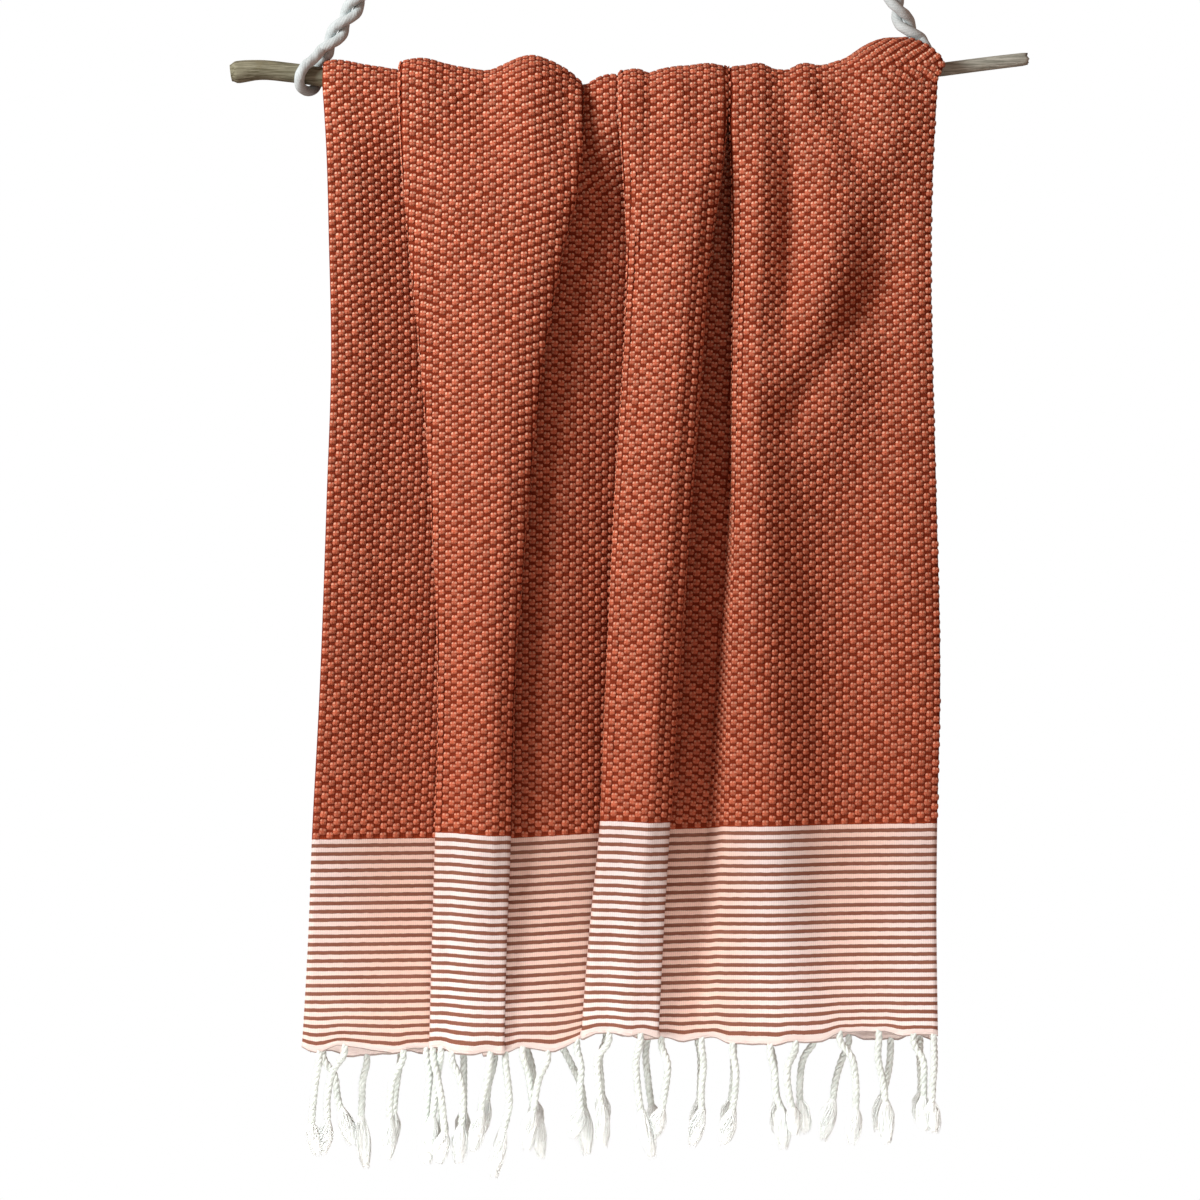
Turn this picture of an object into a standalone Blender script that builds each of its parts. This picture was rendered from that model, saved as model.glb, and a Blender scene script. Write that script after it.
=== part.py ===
"""A fringed hammam towel, hung in pleats over a driftwood stick that two twisted ropes hold up.

Metres, +Z up. +X runs along the stick, the front layer of the cloth is on the -Y side.
The tables below are in millimetres. "along" runs to the right from the front hem's left corner,
"drop" runs down from the upper side of the stick's left end, and "out" is the distance from the
plane of the stick's axis, forwards on the front layer and backwards on the back layer.
The origin is where the left rope's eye bears on its hook.
"""

import math

import bmesh
import bpy
import numpy as np
from mathutils import Vector

MM = 0.001

# ---------------------------------------------------------------- driving sizes

ORIGIN_ALONG = 87.7  # the left eye's bearing point
ORIGIN_DROP = -108.0
GAP = 1.2  # between pieces that meet

CLOTH_THICK = 1.8
HEM_THICK = 3.2  # the rolled hem

STRIP_HIGH = 5.0  # the knotted row that the fringe grows from
STRIP_THICK = 3.0
STRAND_RADIUS = 3.7
STRAND_SIDES = 4
ROOT_DEPTH = 3.7  # a strand starts this far under the hem, inside the knotted row

ROPE_RADIUS = 5.2  # one strand of the twisted pair
ROPE_PITCH = 56.0  # one full turn of the pair
ROPE_SPREAD = 5.55  # from the pair's middle to the middle of a strand
EYE_WIDE = 25.0  # across the middles of the eye's strand
EYE_LONG = 38.0
ROPE_STEP = 5.4  # between points along a leg or a loop
EYE_STEPS = 12

STICK_SIDES = 14

# The stick's axis, from its left end to its right end.
STICK = (
    # along, drop, out, diameter
    (-69.0, 13.2, 0.0, 23.5),
    (-60.0, 12.0, 0.0, 23.8),
    (-43.0, 10.3, 0.0, 21.6),
    (-9.0, 12.9, 0.0, 20.6),
    (22.0, 17.2, 0.0, 20.2),
    (100.0, 26.5, 0.5, 19.0),
    (180.0, 34.5, 1.0, 18.2),
    (260.0, 39.5, 0.5, 17.4),
    (350.0, 39.5, -0.5, 16.5),
    (450.0, 31.5, -1.0, 15.3),
    (550.0, 20.5, -0.5, 14.4),
    (637.0, 10.2, 0.0, 13.6),
    (690.0, 3.2, 0.0, 13.4),
    (728.0, -1.4, 0.0, 13.2),
)

# Heights at which the tables of the front layer are given, as drops. The back layer uses the same.
LEVELS = (30.0, 90.0, 190.0, 290.0, 440.0, 640.0, 770.0, 870.0, 985.0)

# The pleats' edges on the front layer, as "along" at each level. "face" is the side that the fold
# in front lies on: 1 where it lies to the right of its edge, -1 where it lies to the left.
FRONT_EDGES = (
    # name, face, along at each level
    ("broad_left", 1, (101.0, 103.5, 112.0, 122.0, 133.0, 140.0, 137.0, 134.0, 131.0)),
    ("broad_right", -1, (282.0, 280.0, 259.0, 242.0, 227.0, 213.0, 211.0, 207.0, 204.0)),
    ("narrow_left", 1, (320.0, 323.5, 327.5, 324.0, 315.0, 306.0, 300.5, 291.0, 282.0)),
    ("narrow_right", -1, (426.0, 421.0, 408.0, 400.0, 390.0, 376.0, 369.0, 363.0, 357.0)),
    ("ridge_left", 1, (429.0, 431.0, 433.0, 431.0, 429.0, 427.0, 425.0, 422.0, 420.0)),
)
FRONT_LEFT = (24.0, 28.0, 31.0, 33.0, 28.5, 21.0, 14.0, 10.0, 3.5)  # the selvedges
FRONT_RIGHT = (635.0, 632.0, 629.0, 630.0, 634.0, 638.0, 635.0, 634.0, 635.0)

BACK_EDGES = (
    ("broad_left", 1, (101.0, 102.0, 106.0, 112.0, 120.0, 132.0, 140.0, 145.0, 148.0)),
    ("broad_right", -1, (282.0, 279.0, 268.0, 258.0, 250.0, 244.0, 240.0, 238.0, 236.0)),
    ("narrow_left", 1, (320.0, 318.0, 312.0, 308.0, 304.0, 306.0, 312.0, 316.0, 318.0)),
    ("narrow_right", -1, (426.0, 423.0, 416.0, 408.0, 402.0, 398.0, 397.0, 397.0, 398.0)),
    ("ridge_left", 1, (429.0, 432.0, 438.0, 444.0, 450.0, 456.0, 462.0, 466.0, 470.0)),
)
BACK_LEFT = (24.0, 27.0, 29.0, 30.0, 27.0, 22.0, 17.0, 13.0, 9.0)
BACK_RIGHT = (604.0, 622.0, 630.0, 630.0, 633.0, 636.0, 634.0, 633.0, 634.0)

# How much of a stretch's spare cloth each edge takes, at the top, a fifth down, mid-way and the hem.
SHARE_DROPS = (30.0, 190.0, 440.0, 770.0, 985.0)
SHARES = {
    "broad_left": (1.0, 1.0, 1.0, 1.0, 1.0),
    "broad_right": (0.25, 0.42, 0.48, 0.46, 0.42),
    "narrow_left": (0.75, 0.58, 0.52, 0.54, 0.58),
    "narrow_right": (0.50, 0.60, 0.72, 0.80, 0.82),
    "ridge_left": (0.50, 0.40, 0.28, 0.20, 0.18),
}
# How gently each edge steps down where it has little spare cloth.
STEPS = {
    "broad_left": 6.0,
    "broad_right": 10.0,
    "narrow_left": 6.0,
    "narrow_right": 8.0,
    "ridge_left": 14.0,
}
# The cut width of the cloth between the pleats' middles: left selvedge, broad, narrow, ridge.
STRETCHES = (("broad_left",), ("broad_right", "narrow_left"), ("narrow_right", "ridge_left"))
STRETCH_WIDTHS = (228.0, 290.0, 194.0)

# Relief of each panel: a row for each level from a fifth down, "out" at each place across it.
RELIEF_DROPS = (190.0, 440.0, 770.0, 985.0)
PANELS = (
    # name, places across it from 0 to 1, then "out" at each of them on the front layer
    (
        "side",
        (0.0, 0.25, 0.5, 0.75, 1.0),
        ((19, 24, 26, 22, 15), (17, 24, 26, 19, 11), (15, 23, 26, 18, 11), (15, 22, 24, 18, 12)),
    ),
    (
        "broad",
        (0.0, 0.11, 0.23, 0.34, 0.45, 0.56, 0.67, 0.78, 0.90, 1.0),
        (
            (34, 38, 42, 44, 45, 45, 44, 42, 39, 36),
            (32, 36, 40, 42, 43, 43, 42, 41, 38, 34),
            (31, 34, 38, 41, 42, 42, 41, 39, 36, 32),
            (30, 33, 36, 38, 39, 38, 36, 34, 32, 30),
        ),
    ),
    (
        "recess",
        (0.0, 0.25, 0.5, 0.75, 1.0),
        ((13, 14, 14, 13, 12), (8, 11, 12, 12, 9), (8, 12, 14, 13, 9), (14, 16, 17, 14, 9)),
    ),
    (
        "narrow",
        (0.0, 0.16, 0.33, 0.5, 0.67, 0.84, 1.0),
        (
            (34, 38, 41, 42, 41, 38, 34),
            (33, 37, 40, 41, 41, 39, 35),
            (34, 38, 41, 42, 41, 38, 33),
            (33, 37, 39, 39, 37, 33, 28),
        ),
    ),
    ("gutter", (0.0, 0.5, 1.0), ((10, 8, 9), (4, 3, 5), (6, 5, 8), (14, 13, 15))),
    (
        "right",
        (0.0, 0.08, 0.16, 0.24, 0.33, 0.43, 0.53, 0.63, 0.73, 0.83, 0.92, 1.0),
        (
            (30, 36, 31, 21, 23, 29, 34, 31, 25, 23, 23, 22),
            (26, 35, 30, 20, 13, 11, 13, 18, 24, 28, 29, 27),
            (24, 33, 30, 22, 15, 13, 16, 21, 27, 30, 30, 27),
            (24, 31, 29, 25, 21, 20, 22, 26, 29, 30, 28, 24),
        ),
    ),
)
# Steps along a pleat's edge, from one panel to the next, and where its two turns start and end.
LAP_STEPS = (0.15, 0.25, 0.35, 0.65, 0.75, 0.85)
TURNS = (0.15, 0.35, 0.65, 0.85)
PLAIN_LAP = 8.0  # an edge that overlaps less than this is a plain step, with no cloth folded under
# The places that the cloth's cut width is measured between.
MARKS = {"side": 0.0, "broad": 0.5, "narrow": 0.5, "right": 0.08}
BACK_RELIEF = 0.72  # the back layer's pleats stand out this much of the front ones

# The cloth's crest over the stick, as (along, drop) for each panel.
CREST = {
    "side": ((22, 4.2), (30, 2.0), (42, 1.8), (60, 5.2), (83, 9.0), (98, 11.6), (116, 13.5)),
    "broad": ((100, 2), (113, 0), (128, 0.5), (140, 4), (170, 10), (189, 12), (203, 6.5), (215, 1),
              (233, -3), (250, 0.5), (265, 6), (272, 12), (278, 20)),
    "recess": ((286, 26.5), (292, 23), (304, 17), (311, 15.5), (316, 22), (322, 26.7), (334, 29.5), (350, 29.5)),
    "narrow": ((320, 12), (332, 10.5), (340, 11), (348, 14.5), (357, 12), (369, 9), (390, 7),
               (409, 5), (420, 6.5)),
    "gutter": ((410, 17.5), (428, 16), (446, 17.0)),
    "right": ((438, 7.5), (450, 6), (462, 5), (470, 9.5), (480, 11.5), (489, 11), (501, 5),
              (511, 5.5), (520, 7), (533, 4), (547, -1), (559, -9), (570, -15), (581, -19),
              (600, -21)),
}
OUT_AT_CREST = 10.0  # the cloth's front and back stand this far out, and this share of its height
OUT_SHARE = 0.62
SPRING = 12.0  # the crest's arch springs this far below the stick's axis

# The right corner swings to the left of the rope as it goes over: a row for each step of the arch.
ARCH = (
    # turn in degrees from the front, shift of the right selvedge to the left
    (14.0, -7.0),
    (32.0, 0.0),
    (56.0, 14.0),
    (84.0, 31.0),
    (112.0, 36.0),
    (142.0, 35.0),
    (164.0, 33.0),
)
SWING_FROM = 545.0  # the cloth to the left of this doesn't swing
ARCH_ROUND = 0.82

# The hems, as (along, drop) of their lower edges.
FRONT_HEM = ((4, 982), (14, 988), (31, 988), (48, 984), (63, 986), (87, 990), (111, 990),
             (145, 986), (181, 992), (220, 988), (252, 987), (269, 985), (281, 977), (293, 971),
             (329, 972), (361, 976), (400, 978), (465, 982), (484, 982), (506, 979), (533, 973),
             (579, 969), (635, 975))
BACK_HEM = ((9, 994), (60, 997), (120, 994), (200, 985), (300, 974), (400, 972), (500, 976),
            (560, 981), (634, 980))

# Rows of the front layer, from the hem up to the arch, as shares of its height.
FRONT_ROWS = (0.0, 0.007, 0.012, 0.07, 0.14, 0.22, 0.31, 0.41, 0.51, 0.61, 0.70, 0.78, 0.85,
              0.91, 0.96, 1.0)
BACK_ROWS = (1.0, 0.95, 0.88, 0.78, 0.66, 0.53, 0.40, 0.26, 0.12, 0.012, 0.007, 0.0)


# The fringe: a row for each strand. "along" of its root, of its twist 20 and 45 below the hem,
# of its knot and of its tuft's tip, then the drops of knot and tip, and how far it hangs forward.
FRONT_STRANDS = (
    (21, 18, 15, 13, 20, 1065, 1090, 0),
    (46, 35, 29, 29, 25, 1061, 1090, 0),
    (104, 95, 91, 91, 88, 1061, 1095, 0),
    (127, 130, 128, 126, 128, 1071, 1101, 0),
    (134, 138, 143, 146, 140, 1071, 1097, 9),
    (142, 139, 136, 133, 132, 1058, 1090, -9),
    (153, 161, 164, 162, 160, 1066, 1097, 0),
    (191, 189, 183, 182, 174, 1050, 1085, 0),
    (206, 208, 210, 204, 194, 1068, 1112, 0),
    (223, 228, 232, 234, 242, 1050, 1094, -6),
    (248, 240, 235, 233, 227, 1052, 1084, 8),
    (277, 281, 280, 281, 273, 1052, 1074, 0),
    (309, 298, 299, 301, 303, 1043, 1081, 0),
    (340, 336, 337, 341, 352, 1050, 1092, -4),
    (361, 367, 365, 361, 354, 1048, 1070, 8),
    (401, 403, 401, 401, 392, 1051, 1082, 0),
    (432, 435, 434, 431, 423, 1051, 1081, 0),
    (469, 473, 475, 480, 483, 1047, 1083, 0),
    (494, 486, 487, 491, 493, 1046, 1068, 10),
    (538, 550, 554, 554, 550, 1050, 1078, 0),
    (577, 576, 581, 584, 585, 1042, 1079, 0),
    (611, 620, 621, 621, 622, 1036, 1065, 0),
    (631, 631, 629, 628, 631, 1040, 1065, 10),
)
BACK_STRANDS = (
    (22, 33, 37, 41, 52, 1055, 1086, 0),
    (66, 62, 61, 60, 65, 1061, 1108, 0),
    (100, 97, 94, 93, 91, 1058, 1086, 0),
    (134, 137, 140, 141, 139, 1060, 1088, 0),
    (163, 163, 163, 163, 161, 1058, 1086, 0),
    (195, 193, 187, 186, 180, 1048, 1076, 0),
    (226, 231, 233, 234, 238, 1048, 1076, 0),
    (262, 270, 281, 284, 287, 1054, 1095, 0),
    (306, 300, 301, 302, 304, 1040, 1068, 0),
    (348, 346, 348, 352, 358, 1052, 1078, 0),
    (398, 401, 401, 400, 396, 1046, 1072, 0),
    (434, 434, 434, 431, 426, 1046, 1070, 0),
    (470, 474, 476, 478, 478, 1044, 1072, 0),
    (516, 505, 501, 501, 508, 1047, 1074, 0),
    (550, 543, 536, 534, 524, 1045, 1081, 0),
    (592, 591, 586, 583, 579, 1042, 1072, 0),
    (622, 622, 623, 622, 621, 1040, 1064, 0),
)
STRAND_SAG = (20.0, 45.0)
TUFT_SWELL = ((0.4, 1.6), (1.0, 0.8))  # along the tuft, of the strand

# The ropes' middle lines, from just above the stick to the foot of the eye.
LEFT_ROPE = (
    # along, drop, out
    (25.5, -8.5, 0.0),
    (32.0, -19.0, 0.0),
    (43.0, -36.0, -0.5),
    (58.2, -60.0, 0.0),
    (70.5, -80.0, 0.0),
)
# Round the stick, from the strand in front of it to the one behind it.
LEFT_LOOP = (
    (14.5, 0.5, 11.0),
    (5.5, 9.0, 16.4),
    (0.5, 20.0, 15.8),
    (1.0, 27.2, 9.5),
    (5.0, 30.4, 0.0),
    (10.5, 30.0, -7.5),
    (15.0, 24.5, -14.2),
    (16.3, 14.0, -16.4),
    (16.5, 3.0, -12.5),
)
LEFT_TURN = 45.0  # where the front strand starts round the twist, in degrees
RIGHT_ROPE = (
    (617.5, -19.5, -4.0),
    (609.0, -32.0, -3.0),
    (600.8, -44.0, -2.0),
    (594.8, -60.0, -1.0),
    (588.5, -80.0, 0.0),
)
RIGHT_LOOP = (
    (626.5, -11.0, 3.5),
    (629.8, -1.5, 10.5),
    (630.5, 8.0, 13.6),
    (628.5, 19.0, 11.2),
    (624.5, 23.9, 2.0),
    (620.5, 22.4, -8.4),
    (617.5, 13.5, -13.8),
    (616.0, 2.0, -13.4),
    (615.0, -9.0, -10.5),
)
RIGHT_TURN = 150.0

# ---------------------------------------------------------------- small helpers


def place(along, drop, out):
    """A point in metres, "out" towards the front."""
    return Vector(((along - ORIGIN_ALONG) * MM, -out * MM, (ORIGIN_DROP - drop) * MM))


def smooth(xs, ys, x):
    """A smooth line through points: a cubic with the slope of each point's neighbours."""
    xs, ys = np.asarray(xs, float), np.asarray(ys, float)
    slopes = np.gradient(ys, xs)
    x = np.clip(x, xs[0], xs[-1])
    i = np.clip(np.searchsorted(xs, x) - 1, 0, len(xs) - 2)
    wide = xs[i + 1] - xs[i]
    t = (x - xs[i]) / wide
    rise = ys[i + 1] - ys[i]
    a, b = slopes[i] * wide - rise, rise - slopes[i + 1] * wide
    return ys[i] + rise * t + t * (1 - t) * (a * (1 - t) + b * t)


def ease(t):
    t = np.clip(t, 0.0, 1.0)
    return t * t * (3 - 2 * t)


def material(name, colour, roughness):
    made = bpy.data.materials.new(name)
    made.use_nodes = True
    shader = made.node_tree.nodes["Principled BSDF"]
    shader.inputs["Base Color"].default_value = (*colour, 1.0)
    shader.inputs["Roughness"].default_value = roughness
    shader.inputs["Metallic"].default_value = 0.0
    return made


def add_object(name, data, look):
    made = bpy.data.objects.new(name, data)
    made.data.materials.append(look)
    bpy.context.scene.collection.objects.link(made)
    return made


def mesh_of(name, points, faces):
    mesh = bpy.data.meshes.new(name)
    mesh.from_pydata([tuple(p) for p in points], [], faces)
    shape = bmesh.new()
    shape.from_mesh(mesh)
    bmesh.ops.recalc_face_normals(shape, faces=shape.faces)
    shape.to_mesh(mesh)
    shape.free()
    mesh.shade_smooth()
    return mesh


def tube(line, radii, sides, turn=0.0, wobble=None):
    """Points and faces of a closed tube along a line, its rings square to it."""
    line = [Vector(p) for p in line]
    points, faces = [], []
    across = None
    for i, here in enumerate(line):
        ahead = (line[min(i + 1, len(line) - 1)] - line[max(i - 1, 0)]).normalized()
        if across is None:
            across = ahead.orthogonal()
        across = (across - across.dot(ahead) * ahead).normalized()
        up = ahead.cross(across)
        for k in range(sides):
            angle = 2 * math.pi * k / sides + turn
            far = radii[i] * (1.0 if wobble is None else wobble(i, angle))
            points.append(here + (across * math.cos(angle) + up * math.sin(angle)) * far)
    for i in range(len(line) - 1):
        for k in range(sides):
            a, b = i * sides + k, i * sides + (k + 1) % sides
            faces.append((a, b, b + sides, a + sides))
    faces.append(tuple(range(sides))[::-1])
    faces.append(tuple(range(len(points) - sides, len(points))))
    return points, faces


# ---------------------------------------------------------------- the stick


def stick_at(along):
    """The stick's drop, out and radius at a place along it."""
    table = np.array(STICK)
    return [smooth(table[:, 0], table[:, k], along) for k in (1, 2)] + [
        smooth(table[:, 0], table[:, 3], along) / 2
    ]


def knobbly(i, angle):
    """Driftwood isn't round: slow lobes that wander along the stick, and a knot or two."""
    lobes = 0.035 * math.cos(2 * angle + 0.45 * i) + 0.022 * math.cos(3 * angle - 0.7 * i)
    return 1.0 - 0.03 + lobes


def make_stick(look):
    ends = STICK[0][0], STICK[-1][0]
    alongs = [ends[0], ends[0] + 1.5, ends[0] + 5, *np.linspace(ends[0] + 14, ends[1] - 8, 24)]
    alongs += [ends[1] - 2.0, ends[1]]
    line, radii = [], []
    for along in alongs:
        drop, out, radius = stick_at(along)
        line.append(place(along, drop, out))
        radii.append(radius * MM)
    radii[0] *= 0.80
    radii[1] *= 0.93
    radii[-1] *= 0.86
    points, faces = tube(line, radii, STICK_SIDES, wobble=knobbly)
    for k in range(STICK_SIDES):  # the right end is a broken one
        points[-1 - k].x += (1.8 * math.sin(2.1 * k) - 0.8) * MM
    return add_object("stick", mesh_of("stick", points, faces), look)


# ---------------------------------------------------------------- the towel


def panel_out(panel, drop):
    """The relief of a panel at a level, at its places across."""
    _, _, rows = panel
    return np.array([smooth(RELIEF_DROPS, column, drop) for column in np.array(rows).T])


def crest_of(name, along):
    table = np.array(CREST[name])
    return smooth(table[:, 0], table[:, 1], along)


def out_at_arch(along, crest):
    """How far the cloth stands out where the arch springs, from its height over the stick."""
    return OUT_AT_CREST + OUT_SHARE * (stick_at(along)[0] - crest)


def lap_curve(edge, next_out):
    """A pleat's edge in section, as it folds back under itself and forwards again.

    It runs on past the pleat's middle, turns half a round, runs back, turns again and runs on.
    Returns how far along each step is from the middle, and its share of the way from one face
    to the next.
    """
    round_out = abs(next_out - edge["out"]) / 4
    half = edge["lap"] / 2
    round_along = min(round_out, half)
    folded = ease((edge["lap"] - PLAIN_LAP) / PLAIN_LAP)
    t = np.array(LAP_STEPS)
    first = np.clip((t - TURNS[0]) / (TURNS[1] - TURNS[0]), 0, 1)
    second = np.clip((t - TURNS[2]) / (TURNS[3] - TURNS[2]), 0, 1)
    run = np.interp(t, (0, TURNS[0], TURNS[1], TURNS[2], TURNS[3], 1), (0, 1, 1, -1, -1, 0))
    bulge = np.sin(math.pi * first) - np.sin(math.pi * second)
    shift = (run * (half - round_along) + bulge * round_along) * folded + edge["step"] * (t - 0.5)
    down = (1 - np.cos(math.pi * first)) / 4 + (1 - np.cos(math.pi * second)) / 4
    return shift, down * folded + ease(t) * (1 - folded)


def at_level(edges, left, right, drop, spare):
    """One row across a layer: arrays of along, out and crest, and where the marks are in them.

    spare is the spare cloth of each stretch: an edge's share of it is how far its fold overlaps.
    """
    edge_at = {name: smooth(LEVELS, along, drop) for name, _, along in edges}
    overlap = {}
    for names, cloth in zip(STRETCHES, spare):
        for name in names:
            overlap[name] = cloth * smooth(SHARE_DROPS, SHARES[name], drop)
    start = smooth(LEVELS, left, drop)
    end = smooth(LEVELS, right, drop)
    near_crest = 1.0 - ease((drop - 30.0) / 170.0)

    alongs, outs, crests, marks = [], [], [], []
    side = edges + ((None, 0, None),)
    low = start
    for panel, (edge, face, _) in zip(PANELS, side):
        if edge is None:
            high = end
        else:
            lap, step = overlap[edge], STEPS[edge]
            middle = edge_at[edge] + face * (lap / 2 - step / 4)
            high = middle - step / 2
        across = np.array(panel[1])
        along = low + (high - low) * across
        crest = crest_of(panel[0], along)
        out = panel_out(panel, drop)
        out = out + (out_at_arch(along, crest) - out) * near_crest
        if alongs:  # the pleat's edge, from the last panel to this one
            shift, down = lap_curve(last, out[0])
            alongs.append(last["middle"] + shift)
            outs.append(last["out"] + (out[0] - last["out"]) * down)
            crests.append(last["crest"] + (crest[0] - last["crest"]) * down)
        if panel[0] in MARKS:
            nearest = int(np.argmin(abs(across - MARKS[panel[0]])))
            marks.append(sum(len(a) for a in alongs) + nearest)
        alongs.append(along)
        outs.append(out)
        crests.append(crest)
        if edge is not None:
            last = {"out": out[-1], "crest": crest[-1], "step": step, "middle": middle, "lap": lap}
            low = middle + step / 2
    return np.concatenate(alongs), np.concatenate(outs), np.concatenate(crests), marks


def lengths(along, out):
    return np.concatenate([[0.0], np.cumsum(np.hypot(np.diff(along), np.diff(out)))])


def row_across(edges, left, right, drop):
    """at_level with the spare cloth that keeps the weave's width in each stretch."""
    spare = [40.0] * len(STRETCHES)
    for _ in range(30):
        along, out, crest, marks = at_level(edges, left, right, drop, spare)
        run = lengths(along, out)
        for k, wanted in enumerate(STRETCH_WIDTHS):
            have = run[marks[k + 1]] - run[marks[k]]
            spare[k] = max(0.0, spare[k] + 0.45 * (wanted - have))
    return along, out, crest


def hem_drop(hem, along):
    table = np.array(hem)
    return smooth(table[:, 0], table[:, 1], along)


def cloth_grid():
    """The middle of the cloth as rows of points, from the front hem over the stick to the back hem."""
    top = LEVELS[0]
    front_top = row_across(FRONT_EDGES, FRONT_LEFT, FRONT_RIGHT, top)
    spring = stick_at(front_top[0])[0] + SPRING
    rows = []
    for share in FRONT_ROWS:
        level = top + (1.0 - share) * (LEVELS[-1] - top)
        along, out, _ = row_across(FRONT_EDGES, FRONT_LEFT, FRONT_RIGHT, level)
        low = hem_drop(FRONT_HEM, along)
        rows.append([place(a, d, o) for a, d, o in zip(along, low + (spring - low) * share, out)])

    along, out, crest = front_top
    swing = ease((along - SWING_FROM) / (FRONT_RIGHT[0] - SWING_FROM))
    shifted = along - ARCH[3][1] * swing
    crest = np.where(swing > 0, crest_of("right", shifted), crest)
    back_out = OUT_AT_CREST + (out - OUT_AT_CREST) * 0.9
    for turn, shift in ARCH:
        angle = math.radians(turn)
        lift = math.sin(angle) ** ARCH_ROUND
        reach = out if turn < 90 else back_out
        rows.append(
            [
                place(a - shift * w, s + (c - s) * lift, o * math.cos(angle))
                for a, w, s, c, o in zip(along, swing, spring, crest, reach)
            ]
        )

    for share in BACK_ROWS:
        level = top + (1.0 - share) * (LEVELS[-1] - top)
        along, out, _ = row_across(BACK_EDGES, BACK_LEFT, BACK_RIGHT, level)
        near_top = ease((share - 0.7) / 0.3)
        out = out * BACK_RELIEF * (1 - near_top) + back_out * near_top
        low = hem_drop(BACK_HEM, along)
        rows.append([place(a, d, -o) for a, d, o in zip(along, low + (spring - low) * share, out)])
    return rows


def sheet_mesh(name, rows):
    wide = len(rows[0])
    points = [p for row in rows for p in row]
    faces = []
    for i in range(len(rows) - 1):
        for j in range(wide - 1):
            a = i * wide + j
            faces.append((a, a + 1, a + 1 + wide, a + wide))
    mesh = bpy.data.meshes.new(name)
    mesh.from_pydata([tuple(p) for p in points], [], faces)
    mesh.shade_smooth()
    return mesh


def thicken(sheet, thick, thin_share=None, full_rows=(), wide=0):
    """A wall on both sides of the sheet. Rows in full_rows get all of it, the others a share."""
    wall = sheet.modifiers.new("wall", "SOLIDIFY")
    wall.thickness = thick * MM
    wall.offset = 0.0
    wall.use_even_offset = False
    if thin_share is not None:
        group = sheet.vertex_groups.new(name="hem")
        for row in full_rows:
            group.add([row * wide + j for j in range(wide)], 1.0, "REPLACE")
        wall.vertex_group = group.name
        wall.thickness_vertex_group = thin_share
    return wall


def make_towel(rows, look):
    towel = add_object("towel", sheet_mesh("towel", rows), look)
    last = len(rows) - 1
    thicken(towel, HEM_THICK, CLOTH_THICK / HEM_THICK, (0, 1, last - 1, last), len(rows[0]))
    return towel


# ---------------------------------------------------------------- the fringes


def root_of(hem_row, along, side):
    """Where a strand leaves the hem, clear of the hem's lower side to its left and right."""
    beside = [on_hem(hem_row, along + step, side).z for step in (-STRAND_RADIUS, STRAND_RADIUS)]
    root = on_hem(hem_row, along, side)
    root.z = min(root.z, *beside)
    return root


def on_hem(hem_row, along, side):
    """The hem at a place along it: its outermost layer where it is folded."""
    target = (along - ORIGIN_ALONG) * MM
    found = None
    for a, b in zip(hem_row, hem_row[1:]):
        if min(a.x, b.x) <= target <= max(a.x, b.x) and a.x != b.x:
            here = a.lerp(b, (target - a.x) / (b.x - a.x))
            if found is None or side * here.y < side * found.y:
                found = here
    if found is None:
        found = min(hem_row, key=lambda p: abs(p.x - target)).copy()
    return found


def strand(root, row, side):
    """One strand's points and faces: its twist hangs from the hem, and its end is a loose tuft."""
    start, first, second, knot, tip, knot_drop, tip_drop, forward = row
    hem_drop_here = ORIGIN_DROP - root.z / MM
    out = -root.y / MM
    sway = side * forward
    shift = root.x / MM + ORIGIN_ALONG - start
    stops = [
        (start + shift, hem_drop_here + ROOT_DEPTH, out),
        (start + shift, hem_drop_here + STRIP_HIGH + 2, out),
        (first, hem_drop_here + STRAND_SAG[0] + 4, out + sway * 0.7),
        (second, hem_drop_here + STRAND_SAG[1] + 4, out + sway),
        (knot, knot_drop, out + sway),
    ]
    line = [place(*stop) for stop in stops]
    radii = [STRAND_RADIUS * MM * k for k in (0.7, 0.85, 1.0, 1.0, 0.95)]
    for share, swell in TUFT_SWELL:
        line.append(
            place(knot + (tip - knot) * share, knot_drop + (tip_drop - knot_drop) * share, out + sway)
        )
        radii.append(STRAND_RADIUS * MM * swell)
    return tube(line, radii, STRAND_SIDES, turn=math.pi / 4)


def make_fringe(name, hem_row, row_above, strands, side, look):
    """The knotted row under a hem, fused with the roots of its strands."""
    strip_rows = []
    for below in (GAP + STRIP_HIGH, GAP):
        strip_rows.append([p + (p - q).normalized() * below * MM for p, q in zip(hem_row, row_above)])
    strip = add_object(name, sheet_mesh(name, strip_rows), look)
    thicken(strip, STRIP_THICK)
    points, faces = [], []
    for row in strands:
        some, sides = strand(root_of(hem_row, row[0], side), row, side)
        faces += [tuple(k + len(points) for k in face) for face in sides]
        points += some
    locks = add_object(name + "_locks", mesh_of(name + "_locks", points, faces), look)
    locks.hide_render = True
    locks.display_type = "WIRE"
    fuse = strip.modifiers.new("roots", "BOOLEAN")
    fuse.operation = "UNION"
    fuse.solver = "EXACT"
    fuse.object = locks
    return strip


# ---------------------------------------------------------------- the ropes


def smooth_line(stops):
    """A smooth line through a rope's stops, as evenly spread points a rope step apart."""
    stops = np.array(stops)
    run = np.concatenate([[0.0], np.cumsum(np.linalg.norm(np.diff(stops, axis=0), axis=1))])
    at = np.linspace(0.0, run[-1], round(run[-1] / ROPE_STEP) + 1)
    return at, np.array([smooth(run, stops[:, k], at) for k in range(3)]).T


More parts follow.
